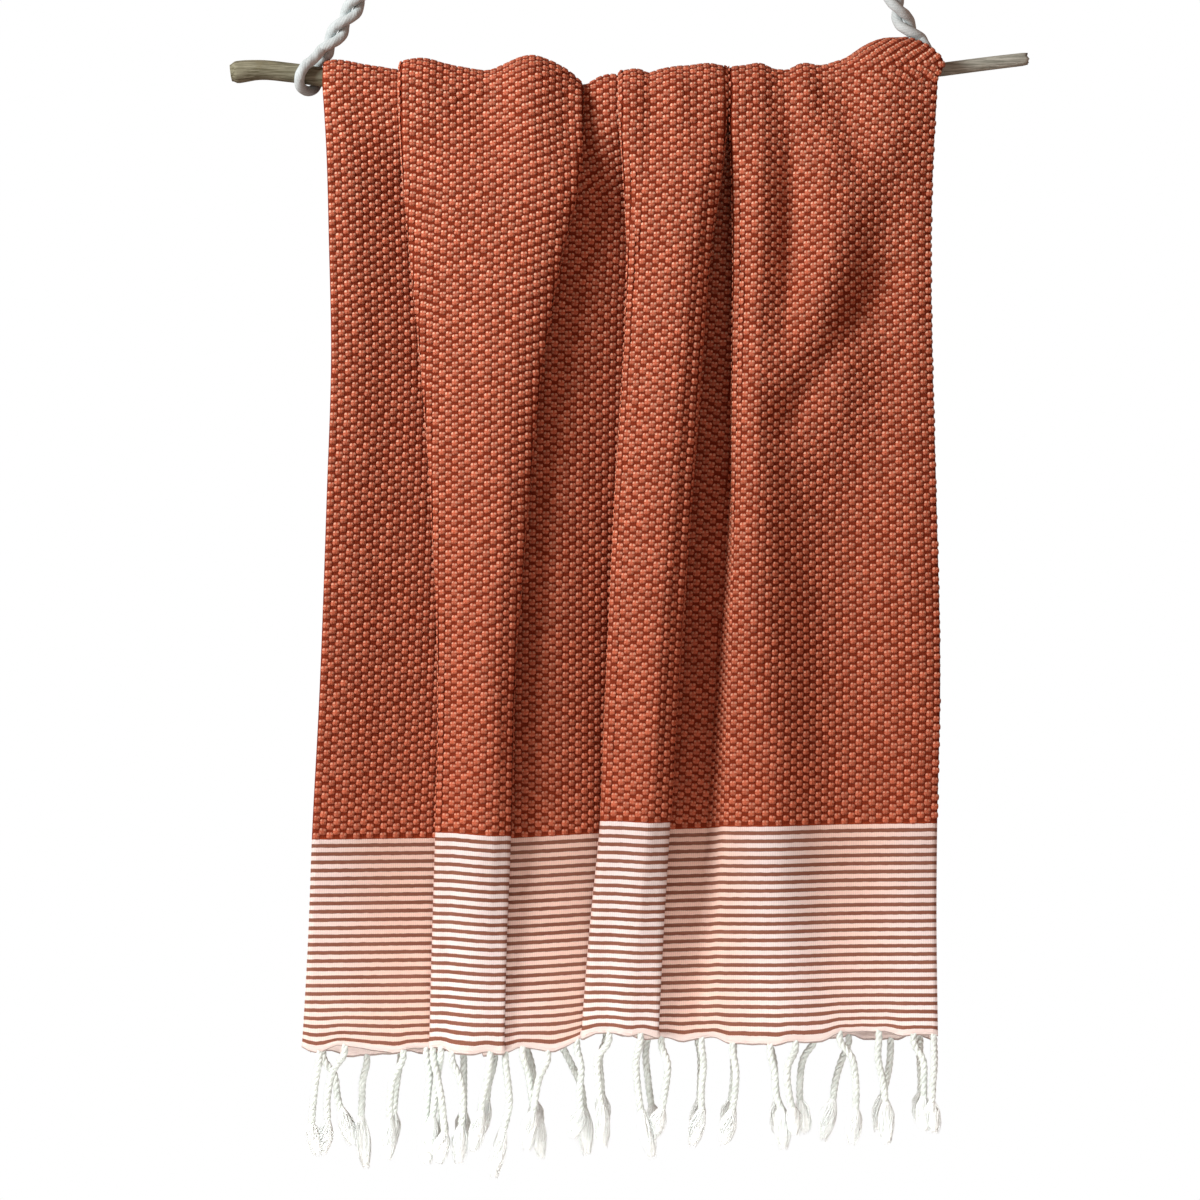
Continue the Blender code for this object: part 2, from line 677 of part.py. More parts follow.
def twisted_legs(middle, first_turn, hand):
    """The two legs of the doubled cord, wound round their middle line, and where it heads."""
    at, line = smooth_line(middle)
    ahead = np.gradient(line, axis=0)
    ahead /= np.linalg.norm(ahead, axis=1)[:, None]
    across = np.cross(ahead, (0.0, 0.0, 1.0))
    across /= np.linalg.norm(across, axis=1)[:, None]
    front = np.cross(across, ahead)
    legs = []
    for start in (first_turn, first_turn + 180.0):
        angle = math.radians(start) + hand * 2 * math.pi * at / ROPE_PITCH
        wound = across * np.cos(angle)[:, None] + front * np.sin(angle)[:, None]
        legs.append(line + ROPE_SPREAD * wound)
    return legs, ahead[-1]


def eye_of(legs, ahead):
    """The eye at the top: the legs part, and meet over an opening for a hook."""
    starts = np.array([leg[-1] for leg in legs])
    top = starts.mean(axis=0)
    side = (starts[0] - starts[1]) / np.linalg.norm(starts[0] - starts[1])
    flat = np.cross(ahead, (0.0, 0.0, 1.0))
    flat = flat / np.linalg.norm(flat) * math.copysign(1.0, np.dot(flat, side))
    stops = []
    for k in range(1, EYE_STEPS):
        turn = math.pi * k / EYE_STEPS
        spread = math.cos(turn) * (ROPE_SPREAD + (EYE_WIDE / 2 - ROPE_SPREAD) * math.sin(turn) * 1.5)
        settle = ease(math.sin(turn) * 2.2)
        across = side * (1 - settle) + flat * settle
        stops.append(top + across * spread + ahead * EYE_LONG * math.sin(turn))
    return stops


def make_rope(name, middle, loop, first_turn, hand, look):
    """One cord doubled round the stick, as a closed line: its loop, a leg, the eye and the other leg."""
    legs, ahead = twisted_legs(middle, first_turn, hand)
    _, around = smooth_line([legs[0][0], *loop, legs[1][0]])
    line = [*around[1:-1], *legs[1], *eye_of(legs, ahead)[::-1], *legs[0][::-1]]
    curve = bpy.data.curves.new(name, "CURVE")
    curve.dimensions = "3D"
    curve.bevel_depth = ROPE_RADIUS * MM
    curve.bevel_resolution = 2
    spline = curve.splines.new("POLY")
    spline.points.add(len(line) - 1)
    for point, stop in zip(spline.points, line):
        point.co = (*place(*stop), 1.0)
    spline.use_cyclic_u = True
    return add_object(name, curve, look)


# ---------------------------------------------------------------- the whole


def clear_scene():
    for old in list(bpy.data.objects):
        bpy.data.objects.remove(old, do_unlink=True)


def main():
    clear_scene()
    terracotta = material("terracotta cotton", (0.46, 0.10, 0.045), 0.9)
    off_white = material("off-white cotton yarn", (0.80, 0.78, 0.70), 0.9)
    bark = material("weathered wood", (0.18, 0.16, 0.11), 0.8)
    grey = material("pale grey cord", (0.55, 0.55, 0.54), 0.9)
    rows = cloth_grid()
    make_stick(bark)
    make_towel(rows, terracotta)
    make_fringe("front_fringe", rows[0], rows[1], FRONT_STRANDS, 1, off_white)
    make_fringe("back_fringe", rows[-1], rows[-2], BACK_STRANDS, -1, off_white)
    make_rope("left_rope", LEFT_ROPE, LEFT_LOOP, LEFT_TURN, 1, grey)
    make_rope("right_rope", RIGHT_ROPE, RIGHT_LOOP, RIGHT_TURN, -1, grey)


main()
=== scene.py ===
# %% [markdown]
# # A fringed hammam towel on a driftwood stick
#
# The towel is one length of cotton: a raised honeycomb weave with a border of brown and white
# stripes at each end, a rolled hem and a fringe of twisted cords. It hangs folded in half over a
# stick of driftwood, gathered into pleats, and two doubled ropes hold the stick up.
#
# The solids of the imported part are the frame. Every piece here takes the place of one of them,
# and follows the same tables of sizes, sampled much more finely.

import math

import bmesh
import bpy
import numpy as np
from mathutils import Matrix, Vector


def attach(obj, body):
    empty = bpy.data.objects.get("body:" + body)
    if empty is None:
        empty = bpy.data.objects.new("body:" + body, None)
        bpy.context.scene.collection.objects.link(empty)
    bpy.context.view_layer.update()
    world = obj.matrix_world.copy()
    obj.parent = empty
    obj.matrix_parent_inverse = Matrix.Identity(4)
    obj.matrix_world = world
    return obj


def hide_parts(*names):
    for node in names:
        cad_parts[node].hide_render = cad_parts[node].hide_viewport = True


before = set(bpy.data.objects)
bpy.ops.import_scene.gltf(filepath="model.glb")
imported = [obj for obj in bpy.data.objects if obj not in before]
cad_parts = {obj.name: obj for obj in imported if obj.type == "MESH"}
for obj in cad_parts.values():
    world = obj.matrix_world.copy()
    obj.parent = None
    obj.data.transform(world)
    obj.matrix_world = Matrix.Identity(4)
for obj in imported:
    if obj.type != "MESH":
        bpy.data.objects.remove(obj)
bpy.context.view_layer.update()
print("solids:", sorted(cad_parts))

# %% [markdown]
# ## Where things are
#
# The tables are in millimetres: "along" runs right from the front hem's left corner, "drop" runs
# down from the upper side of the stick's left end, and "out" is the distance from the plane of
# the stick's axis. It counts forwards on the front layer and backwards on the back one. The
# frame's origin is where the left rope's eye bears on its hook, so one function turns the three
# into a point of the frame.

# %% From millimetres to the frame
MM = 0.001
ORIGIN_ALONG = 87.7
ORIGIN_DROP = -108.0


def place(along, drop, out):
    """A point in metres, "out" towards the front."""
    return np.array(((along - ORIGIN_ALONG) * MM, -out * MM, (ORIGIN_DROP - drop) * MM))


def smooth(xs, ys, x):
    """A smooth line through points: a cubic with the slope of each point's neighbours."""
    xs, ys = np.asarray(xs, float), np.asarray(ys, float)
    slopes = np.gradient(ys, xs)
    x = np.clip(x, xs[0], xs[-1])
    i = np.clip(np.searchsorted(xs, x) - 1, 0, len(xs) - 2)
    wide = xs[i + 1] - xs[i]
    t = (x - xs[i]) / wide
    rise = ys[i + 1] - ys[i]
    a, b = slopes[i] * wide - rise, rise - slopes[i + 1] * wide
    return ys[i] + rise * t + t * (1 - t) * (a * (1 - t) + b * t)


def ease(t):
    """From 0 to 1 with a soft start and a soft end, and level outside."""
    t = np.clip(t, 0.0, 1.0)
    return t * t * (3 - 2 * t)


def rounded(point):
    """A point's coordinates, short enough to print."""
    return [round(float(c), 3) for c in point]


print("the front hem's left corner is at", rounded(place(0, 985, 20)))

# %% [markdown]
# ## The camera
#
# The towel is seen square on from far away, so its sides stay parallel. A long lens four metres
# off gives that, and one pixel of a 1200 pixel frame covers one millimetre of the stick's plane.

# %% Camera
FRAME_WIDE = 1200.0  # millimetres of the stick's plane across the frame
FRAME_CENTRE = place(300.0, 540.0, 0.0)
CAMERA_AWAY = 4.0
SENSOR = 36.0

camera_data = bpy.data.cameras.new("camera")
camera_data.sensor_width = SENSOR
camera_data.lens = SENSOR * CAMERA_AWAY / (FRAME_WIDE * MM)
camera = bpy.data.objects.new("camera", camera_data)
bpy.context.scene.collection.objects.link(camera)
camera.location = FRAME_CENTRE + np.array((0.0, -CAMERA_AWAY, 0.0))
camera.rotation_euler = (math.radians(90), 0, 0)
bpy.context.scene.camera = camera
print("lens", round(camera_data.lens, 1), "mm, looking at", rounded(FRAME_CENTRE))

# %% [markdown]
# ## Colours and nodes
#
# Colours are picked as sRGB hex values, the way a paint program shows them, and Blender's shaders
# want them linear. One function does that for all of them, and one adds a node with its settings
# and its links, so that each material reads from top to bottom.

# %% Colours and nodes


def colour(hex_value):
    """An sRGB hex colour as the linear colour that a shader reads."""
    parts = [int(hex_value[k : k + 2], 16) / 255 for k in (1, 3, 5)]
    linear = [c / 12.92 if c <= 0.04045 else ((c + 0.055) / 1.055) ** 2.4 for c in parts]
    return (*linear, 1.0)


def add(tree, kind, settings=(), **links):
    """Adds a node. settings are its own properties; links fill its inputs, by name or number."""
    node = tree.nodes.new(kind)
    for name, value in dict(settings).items():
        setattr(node, name, value)
    for name, value in links.items():
        if name[0] == "_":
            socket = node.inputs[int(name[1:])]
        else:
            socket = next(s for s in node.inputs if s.enabled and s.name == name.replace("_", " "))
        if isinstance(value, bpy.types.Node):
            value = next(s for s in value.outputs if s.enabled)
        if isinstance(value, bpy.types.NodeSocket):
            tree.links.new(value, socket)
        else:
            socket.default_value = value
    return node


def start_material(name):
    """A new material, its tree and its one shader."""
    made = bpy.data.materials.new(name)
    made.use_nodes = True
    return made, made.node_tree, made.node_tree.nodes["Principled BSDF"]


print("terracotta in linear light:", [round(c, 3) for c in colour("#C0593A")[:3]])

# %% [markdown]
# ## The stick
#
# Driftwood has lost its bark: what is left is a slightly lobed branch, sawn at its thick left end
# and snapped at its thin right one, with grooves that the weather has opened along the grain. A
# tube of rings along the stick's bent axis makes it, and each ring's radius wanders a little.

# %% The stick's axis
# From its sawn left end to its snapped right end.
STICK = (
    # along, drop, out, diameter
    (-69.0, 13.2, 0.0, 23.5),
    (-60.0, 12.0, 0.0, 23.8),
    (-43.0, 10.3, 0.0, 21.6),
    (-9.0, 12.9, 0.0, 20.6),
    (22.0, 17.2, 0.0, 20.2),
    (100.0, 26.5, 0.5, 19.0),
    (180.0, 34.5, 1.0, 18.2),
    (260.0, 39.5, 0.5, 17.4),
    (350.0, 39.5, -0.5, 16.5),
    (450.0, 31.5, -1.0, 15.3),
    (550.0, 20.5, -0.5, 14.4),
    (637.0, 10.2, 0.0, 13.6),
    (690.0, 3.2, 0.0, 13.4),
    (728.0, -1.4, 0.0, 13.2),
)


def stick_at(along):
    """The stick's drop, out and radius at a place along it."""
    table = np.array(STICK)
    return [smooth(table[:, 0], table[:, k], along) for k in (1, 2)] + [
        smooth(table[:, 0], table[:, 3], along) / 2
    ]


print("the stick is", STICK[-1][0] - STICK[0][0], "mm long")

# %% A tube along any line


def tube(line, radius_at, sides, closed=False):
    """Points and faces of a tube. radius_at(k, angles) gives the radii of ring k."""
    line = np.asarray(line, float)
    count = len(line)
    ahead = np.roll(line, -1, 0) - np.roll(line, 1, 0)
    if not closed:
        ahead[0], ahead[-1] = line[1] - line[0], line[-1] - line[-2]
    ahead /= np.linalg.norm(ahead, axis=1)[:, None]
    across = np.array(Vector(ahead[0]).orthogonal())
    frames = []
    for k in range(count):
        across = across - across.dot(ahead[k]) * ahead[k]
        across /= np.linalg.norm(across)
        frames.append(across)
    frames = np.array(frames)
    twist = np.zeros(count)
    if closed:  # spread what the frame has turned by over the whole loop, so that its ends meet
        last = frames[-1] - frames[-1].dot(ahead[0]) * ahead[0]
        up = np.cross(ahead[0], frames[0])
        twist = -np.linspace(0, 1, count) * math.atan2(last.dot(up), last.dot(frames[0]))
    angles = np.linspace(0, 2 * math.pi, sides, endpoint=False)
    points = []
    for k in range(count):
        turned = angles + twist[k]
        up = np.cross(ahead[k], frames[k])
        ring = np.outer(np.cos(turned), frames[k]) + np.outer(np.sin(turned), up)
        points.extend(line[k] + ring * radius_at(k, angles)[:, None])
    faces = []
    for k in range(count if closed else count - 1):
        ring, following = k * sides, (k + 1) % count * sides
        for s in range(sides):
            n = (s + 1) % sides
            faces.append((ring + s, ring + n, following + n, following + s))
    if not closed:
        faces.append(tuple(range(sides))[::-1])
        faces.append(tuple(range(len(points) - sides, len(points))))
    return np.array(points), faces


# %% A piece from points and faces


def add_piece(name, points, faces, look, recalculate=True):
    """A smooth-shaded mesh object at the origin, with its faces pointing out."""
    mesh = bpy.data.meshes.new(name)
    mesh.from_pydata([tuple(p) for p in points], [], faces)
    if recalculate:
        shape = bmesh.new()
        shape.from_mesh(mesh)
        bmesh.ops.recalc_face_normals(shape, faces=shape.faces)
        shape.to_mesh(mesh)
        shape.free()
    mesh.shade_smooth()
    mesh.materials.append(look)
    made = bpy.data.objects.new(name, mesh)
    bpy.context.scene.collection.objects.link(made)
    return made


# %% [markdown]
# Weathered wood goes grey where the sun has reached it and stays brown in its grooves. The grain
# follows the stick's length, so the noise is stretched along X: long streaks over finer fibres.

# %% Driftwood
STREAK_SCALE = (24.0, 620.0, 620.0)  # per metre: streaks 42 mm long and 1.6 mm wide
FIBRE_SCALE = (60.0, 2100.0, 2100.0)  # fibres 17 mm long and half a millimetre wide
PATCH_SCALE = 26.0  # patches 38 mm across


def driftwood():
    """Debarked branch wood, greyed by sun and salt: dry, matt, with open grain."""
    made, tree, shader = start_material("weathered driftwood")
    surface = add(tree, "ShaderNodeTexCoord").outputs["Object"]
    along = add(tree, "ShaderNodeSeparateXYZ", Vector=surface)
    streaks_at = add(tree, "ShaderNodeMapping", Vector=surface, Scale=STREAK_SCALE)
    grain = add(
        tree, "ShaderNodeTexNoise", Vector=streaks_at, Scale=1.0, Detail=5.0, Roughness=0.62
    )
    fibres_at = add(tree, "ShaderNodeMapping", Vector=surface, Scale=FIBRE_SCALE)
    fibre = add(tree, "ShaderNodeTexNoise", Vector=fibres_at, Scale=1.0, Detail=3.0, Roughness=0.6)
    patch = add(
        tree, "ShaderNodeTexNoise", Vector=surface, Scale=PATCH_SCALE, Detail=3.0, Roughness=0.6
    )

    # Olive where the stick is thick, greyer towards its thin end.
    greyed = add(tree, "ShaderNodeMapRange", Value=along, From_Min=-0.16, From_Max=0.66)
    pale, dark = (
        add(tree, "ShaderNodeMix", {"data_type": "RGBA"}, Factor=greyed, A=colour(a), B=colour(b))
        for a, b in (("#93927C", "#C6CBC0"), ("#545139", "#878B80"))
    )
    streak = add(tree, "ShaderNodeMapRange", Value=grain, From_Min=0.36, From_Max=0.64)
    wood = add(tree, "ShaderNodeMix", {"data_type": "RGBA"}, Factor=streak, A=dark, B=pale)
    # Dark open grain, and the olive patches where the inner bark stayed on.
    opened = add(
        tree, "ShaderNodeMapRange", Value=fibre, From_Min=0.40, From_Max=0.30, To_Max=0.75
    )
    wood = add(
        tree, "ShaderNodeMix", {"data_type": "RGBA"}, Factor=opened, A=wood, B=colour("#3E3626")
    )
    barked = add(
        tree, "ShaderNodeMapRange", Value=patch, From_Min=0.57, From_Max=0.72, To_Max=0.5
    )
    wood = add(
        tree, "ShaderNodeMix", {"data_type": "RGBA"}, Factor=barked, A=wood, B=colour("#857C5A")
    )
    tree.links.new(wood.outputs[2], shader.inputs["Base Color"])
    shader.inputs["Roughness"].default_value = 0.78
    shader.inputs["Specular IOR Level"].default_value = 0.3
    relief = add(
        tree, "ShaderNodeMath", {"operation": "MULTIPLY_ADD"}, _0=fibre, _1=0.6, _2=grain
    )
    bump = add(tree, "ShaderNodeBump", Height=relief, Strength=0.9, Distance=0.0007)
    tree.links.new(bump.outputs[0], shader.inputs["Normal"])
    return made


driftwood_look = driftwood()
print(driftwood_look.name, "has", len(driftwood_look.node_tree.nodes), "nodes")

# %% The stick's lobes and grooves
CAD_RING = 33.7  # millimetres between the rings that the solid's lobes are counted in
GROOVES = (
    # how many go round the stick, drift, depth as a share of the radius, phase
    (9, 0.011, 0.010, 0.4),
    (16, -0.017, 0.008, 2.1),
    (27, 0.023, 0.006, 4.0),
)


def lobes(along, angles):
    """Driftwood isn't round: slow lobes that wander along the stick."""
    ring = 3 + (along + 55) / CAD_RING
    return 0.97 + 0.035 * np.cos(2 * angles + 0.45 * ring) + 0.022 * np.cos(3 * angles - 0.7 * ring)


def grooves(along, angles):
    """Open grain: shallow grooves that drift round the stick and come and go."""
    cut = np.zeros(len(angles))
    for count, drift, depth, phase in GROOVES:
        fade = 0.5 + 0.5 * math.sin(along * 0.021 * (1 + count % 4) + phase)
        wave = 0.5 + 0.5 * np.sin(count * angles + along * drift * count / 4 + phase)
        cut -= depth * fade * wave**2
    return cut


print("a groove is up to", round(GROOVES[0][2] * stick_at(0.0)[2], 2), "mm deep")

# %% The stick
STICK_RINGS = 280
STICK_SIDES = 72
SAWN_RINGS = (0.0, 0.5, 1.4, 2.8, 4.6)  # millimetres from the sawn end, over its worn edge
SPLINTERS = ((1.1, 3, 0), (0.6, 8, 1), (0.5, 17, 2))  # length in mm, how many, phase
SPLINTER_RINGS = 4
BROKEN_OFF = 0.9  # the broken end's middle lies this far inside the stick's length
SAWN_WEAR, SAWN_OVER = 0.24, 6.0  # the share of the radius that is worn off, over how many mm
SNAPPED_WEAR, SNAPPED_OVER = 0.10, 5.0


def make_stick():
    """The lobed, grooved tube, worn round at its sawn end and splintered at the other."""
    start, end = STICK[0][0], STICK[-1][0]
    rings = np.linspace(start + 7, end, STICK_RINGS)
    run = np.concatenate([start + np.array(SAWN_RINGS), rings])
    line, radii = [], []
    for along in run:
        drop, out, radius = stick_at(along)
        line.append(place(along, drop, out))
        rounding = 1 - SAWN_WEAR * (1 - ease((along - start) / SAWN_OVER))
        rounding -= SNAPPED_WEAR * ease((along - end + SNAPPED_OVER) / SNAPPED_OVER)
        radii.append(radius * rounding)

    def radius_at(k, angles):
        return radii[k] * (lobes(run[k], angles) + grooves(run[k], angles)) * MM

    points, faces = tube(line, radius_at, STICK_SIDES)
    # The last rings are the broken end: splinters of different lengths.
    angles = np.linspace(0, 2 * math.pi, STICK_SIDES, endpoint=False)
    splinter = sum(long * np.sin(n * angles + phase) for long, n, phase in SPLINTERS) - BROKEN_OFF
    for k in range(len(run) - SPLINTER_RINGS, len(run)):
        share = (k - len(run) + SPLINTER_RINGS + 1) / SPLINTER_RINGS
        points[k * STICK_SIDES : (k + 1) * STICK_SIDES, 0] += splinter * share * MM
    return add_piece("driftwood_stick", points, faces, driftwood_look)


stick = make_stick()
print("stick:", len(stick.data.polygons), "faces")

# %% [markdown]
# ## The ropes
#
# Each rope is one soft cotton cord, doubled round the stick, twisted on itself and laid back into
# an eye. The two strands of the pair wind round a middle line, one full turn every 56 mm. The
# middle line, the loop round the stick and the eye are joined into one closed line, and a tube
# with three shallow lays runs along it.

# %% The ropes' lines
ROPE_RADIUS = 5.2
ROPE_PITCH = 56.0
ROPE_SPREAD = 5.55  # from the pair's middle to the middle of a strand
ROPE_STEP = 1.3
EYE_WIDE = 25.0
EYE_LONG = 38.0
EYE_STEPS = 56
EYE_ROUND = 1.5  # how much fuller the eye's sides are than a plain arch
EYE_SETTLE = 2.2  # how soon the legs come to lie side by side

# The ropes' middle lines, from just above the stick to the foot of the eye.
LEFT_ROPE = (
    # along, drop, out
    (25.5, -8.5, 0.0),
    (32.0, -19.0, 0.0),
    (43.0, -36.0, -0.5),
    (58.2, -60.0, 0.0),
    (70.5, -80.0, 0.0),
)
# Round the stick, from the strand in front of it to the one behind it.
LEFT_LOOP = (
    (14.5, 0.5, 11.0),
    (5.5, 9.0, 16.4),
    (0.5, 20.0, 15.8),
    (1.0, 27.2, 9.5),
    (5.0, 30.4, 0.0),
    (10.5, 30.0, -7.5),
    (15.0, 24.5, -14.2),
    (16.3, 14.0, -16.4),
    (16.5, 3.0, -12.5),
)
LEFT_TURN = 45.0  # where the front strand starts round the twist, in degrees
RIGHT_ROPE = (
    (617.5, -19.5, -4.0),
    (609.0, -32.0, -3.0),
    (600.8, -44.0, -2.0),
    (594.8, -60.0, -1.0),
    (588.5, -80.0, 0.0),
)
RIGHT_LOOP = (
    (626.5, -11.0, 3.5),
    (629.8, -1.5, 10.5),
    (630.5, 8.0, 13.6),
    (628.5, 19.0, 11.2),
    (624.5, 23.9, 2.0),
    (620.5, 22.4, -8.4),
    (617.5, 13.5, -13.8),
    (616.0, 2.0, -13.4),
    (615.0, -9.0, -10.5),
)
RIGHT_TURN = 150.0
print("the twist turns once in", ROPE_PITCH, "mm")

# %% A smooth line through stops


def smooth_line(stops, count=None):
    """A smooth line through stops, as a count of evenly spread points or a rope step apart."""
    stops = np.array(stops)
    run = np.concatenate([[0.0], np.cumsum(np.linalg.norm(np.diff(stops, axis=0), axis=1))])
    at = np.linspace(0.0, run[-1], count or round(run[-1] / ROPE_STEP) + 1)
    return at, np.array([smooth(run, stops[:, k], at) for k in range(3)]).T


# %% The twisted legs and the eye


def twisted_legs(middle, first_turn, hand):
    """The two legs of the doubled cord, wound round their middle line, and where it heads."""
    at, line = smooth_line(middle)
    ahead = np.gradient(line, axis=0)
    ahead /= np.linalg.norm(ahead, axis=1)[:, None]
    across = np.cross(ahead, (0.0, 0.0, 1.0))
    across /= np.linalg.norm(across, axis=1)[:, None]
    front = np.cross(across, ahead)
    legs = []
    for start in (first_turn, first_turn + 180.0):
        angle = math.radians(start) + hand * 2 * math.pi * at / ROPE_PITCH
        wound = across * np.cos(angle)[:, None] + front * np.sin(angle)[:, None]
        legs.append(line + ROPE_SPREAD * wound)
    return legs, ahead[-1]


def eye_of(legs, ahead):
    """The eye at the top: the legs part, and meet over an opening for a hook."""
    starts = np.array([leg[-1] for leg in legs])
    top = starts.mean(axis=0)
    side = (starts[0] - starts[1]) / np.linalg.norm(starts[0] - starts[1])
    flat = np.cross(ahead, (0.0, 0.0, 1.0))
    flat = flat / np.linalg.norm(flat) * math.copysign(1.0, np.dot(flat, side))
    stops = []
    for k in range(1, EYE_STEPS):
        turn = math.pi * k / EYE_STEPS
        round_eye = (EYE_WIDE / 2 - ROPE_SPREAD) * math.sin(turn) * EYE_ROUND
        settle = ease(math.sin(turn) * EYE_SETTLE)
        across = side * (1 - settle) + flat * settle
        spread = math.cos(turn) * (ROPE_SPREAD + round_eye)
        stops.append(top + across * spread + ahead * EYE_LONG * math.sin(turn))
    return stops


# %% The whole line of each rope


def rope_line(middle, loop, first_turn, hand):
    """The cord's closed line in millimetres, evenly spread, starting under the stick."""
    legs, ahead = twisted_legs(middle, first_turn, hand)
    _, around = smooth_line([legs[0][0], *loop, legs[1][0]])
    line = np.array([*around[1:-1], *legs[1], *eye_of(legs, ahead)[::-1], *legs[0][::-1]])
    line = np.roll(line, -int(np.argmax(line[:, 1])), axis=0)
    for _ in range(3):  # takes the kinks out where the loop, the legs and the eye join
        line = (np.roll(line, 1, 0) + 2 * line + np.roll(line, -1, 0)) / 4
    closed = np.vstack([line, line[:1]])
    run = np.concatenate([[0.0], np.cumsum(np.linalg.norm(np.diff(closed, axis=0), axis=1))])
    at = np.arange(0.0, run[-1] - ROPE_STEP / 2, ROPE_STEP)
    return np.array([np.interp(at, run, closed[:, k]) for k in range(3)]).T


left_line = rope_line(LEFT_ROPE, LEFT_LOOP, LEFT_TURN, 1)
right_line = rope_line(RIGHT_ROPE, RIGHT_LOOP, RIGHT_TURN, -1)
print("ropes:", len(left_line), "and", len(right_line), "steps")

# %% [markdown]
# The cord is loosely laid, so its yarns only show as faint slanting streaks over a soft, fluffy
# surface. The streaks are drawn from the run along the cord and the turn round it, which each
# rope keeps as its own coordinates.

# %% Cord cotton
LAY_PITCH = 34.0  # millimetres for a yarn to go once round the cord
YARNS_ROUND = 9


def cord_cotton():
    """Pale grey cotton cord: matt and soft, with faint streaks that slant along the lay."""
    made, tree, shader = start_material("pale grey cotton cord")
    lay = add(tree, "ShaderNodeUVMap", {"uv_map": "lay"})
    at = add(tree, "ShaderNodeSeparateXYZ", Vector=lay)
    run, turn = at.outputs["X"], at.outputs["Y"]
    slant = add(
        tree,
        "ShaderNodeMath",
        {"operation": "MULTIPLY_ADD"},
        _0=run,
        _1=1 / (LAY_PITCH * MM),
        _2=turn,
    )
    yarn_turn = add(
        tree, "ShaderNodeMath", {"operation": "MULTIPLY"}, _0=slant, _1=2 * math.pi * YARNS_ROUND
    )
    yarns = add(tree, "ShaderNodeMath", {"operation": "COSINE"}, _0=yarn_turn)
    surface = add(tree, "ShaderNodeTexCoord").outputs["Object"]
    fluff = add(tree, "ShaderNodeTexNoise", Vector=surface, Scale=420.0, Detail=4.0, Roughness=0.65)
    soft = add(tree, "ShaderNodeTexNoise", Vector=surface, Scale=90.0, Detail=2.0, Roughness=0.5)
    tone = add(tree, "ShaderNodeMath", {"operation": "MULTIPLY_ADD"}, _0=yarns, _1=0.10, _2=fluff)
    tone = add(tree, "ShaderNodeMath", {"operation": "MULTIPLY_ADD"}, _0=soft, _1=0.5, _2=tone)
    shown = add(tree, "ShaderNodeMapRange", Value=tone, From_Min=0.45, From_Max=1.05)
    cotton = add(
        tree,
        "ShaderNodeMix",
        {"data_type": "RGBA"},
        Factor=shown,
        A=colour("#ACB8B9"),
        B=colour("#CED8D9"),
    )
    tree.links.new(cotton.outputs[2], shader.inputs["Base Color"])
    shader.inputs["Roughness"].default_value = 0.95
    shader.inputs["Specular IOR Level"].default_value = 0.1
    bump = add(tree, "ShaderNodeBump", Height=tone, Strength=0.6, Distance=0.0006)
    tree.links.new(bump.outputs[0], shader.inputs["Normal"])
    return made


cord_look = cord_cotton()
print(cord_look.name, "has", len(cord_look.node_tree.nodes), "nodes")

# %% The ropes
CORD_SIDES = 28
CORD_LAYS = 3
CORD_MEAN = 0.985  # of the cord's radius, half way between its crests and hollows
LAY_DEEP = 0.028  # how far the lays' crests stand out from there, as a share of the radius


def make_rope(name, line):
    """The cord as a closed tube with three shallow lays, and its run and turn as coordinates."""
    middle = np.array([place(*p) for p in line])
    run = np.arange(len(line)) * ROPE_STEP

    def radius_at(k, angles):
        lays = LAY_DEEP * np.cos(CORD_LAYS * (angles + 2 * math.pi * run[k] / LAY_PITCH))
        return ROPE_RADIUS * MM * (CORD_MEAN + lays)

    points, faces = tube(middle, radius_at, CORD_SIDES, closed=True)
    made = add_piece(name, points, faces, cord_look)
    lay = made.data.uv_layers.new(name="lay")
    ring_count = len(line)
    for polygon in made.data.polygons:
        corners = [made.data.loops[k].vertex_index for k in polygon.loop_indices]
        rings = [c // CORD_SIDES for c in corners]
        sides = [c % CORD_SIDES for c in corners]
        over_ring = max(rings) - min(rings) > 1
        over_side = max(sides) - min(sides) > 1
        for k, ring, side in zip(polygon.loop_indices, rings, sides):
            ring += ring_count if over_ring and ring == 0 else 0
            side += CORD_SIDES if over_side and side == 0 else 0
            lay.uv[k].vector = (ring * ROPE_STEP * MM, side / CORD_SIDES)
    return made


left_rope = make_rope("left_doubled_rope", left_line)
right_rope = make_rope("right_doubled_rope", right_line)
print("each rope:", len(left_rope.data.polygons), "faces")

# %% [markdown]
# ## The towel's shape
#
# A pleated cloth is easiest to describe by its sections. At each height a row crosses six panels:
# a side, the broad fold, a recess, the narrow fold, a deep gutter and the right part with its
# ridge. Between them the cloth folds back under itself. The tables say where the folds' edges lie
# and how far each panel stands out, and the spare cloth that the folds hide is solved for, so
# that each stretch of the weave keeps its cut width from the stick down to the hem.

# %% Where the folds' edges lie
# Heights at which the tables of both layers are given, as drops.
LEVELS = (30.0, 90.0, 190.0, 290.0, 440.0, 640.0, 770.0, 870.0, 985.0)

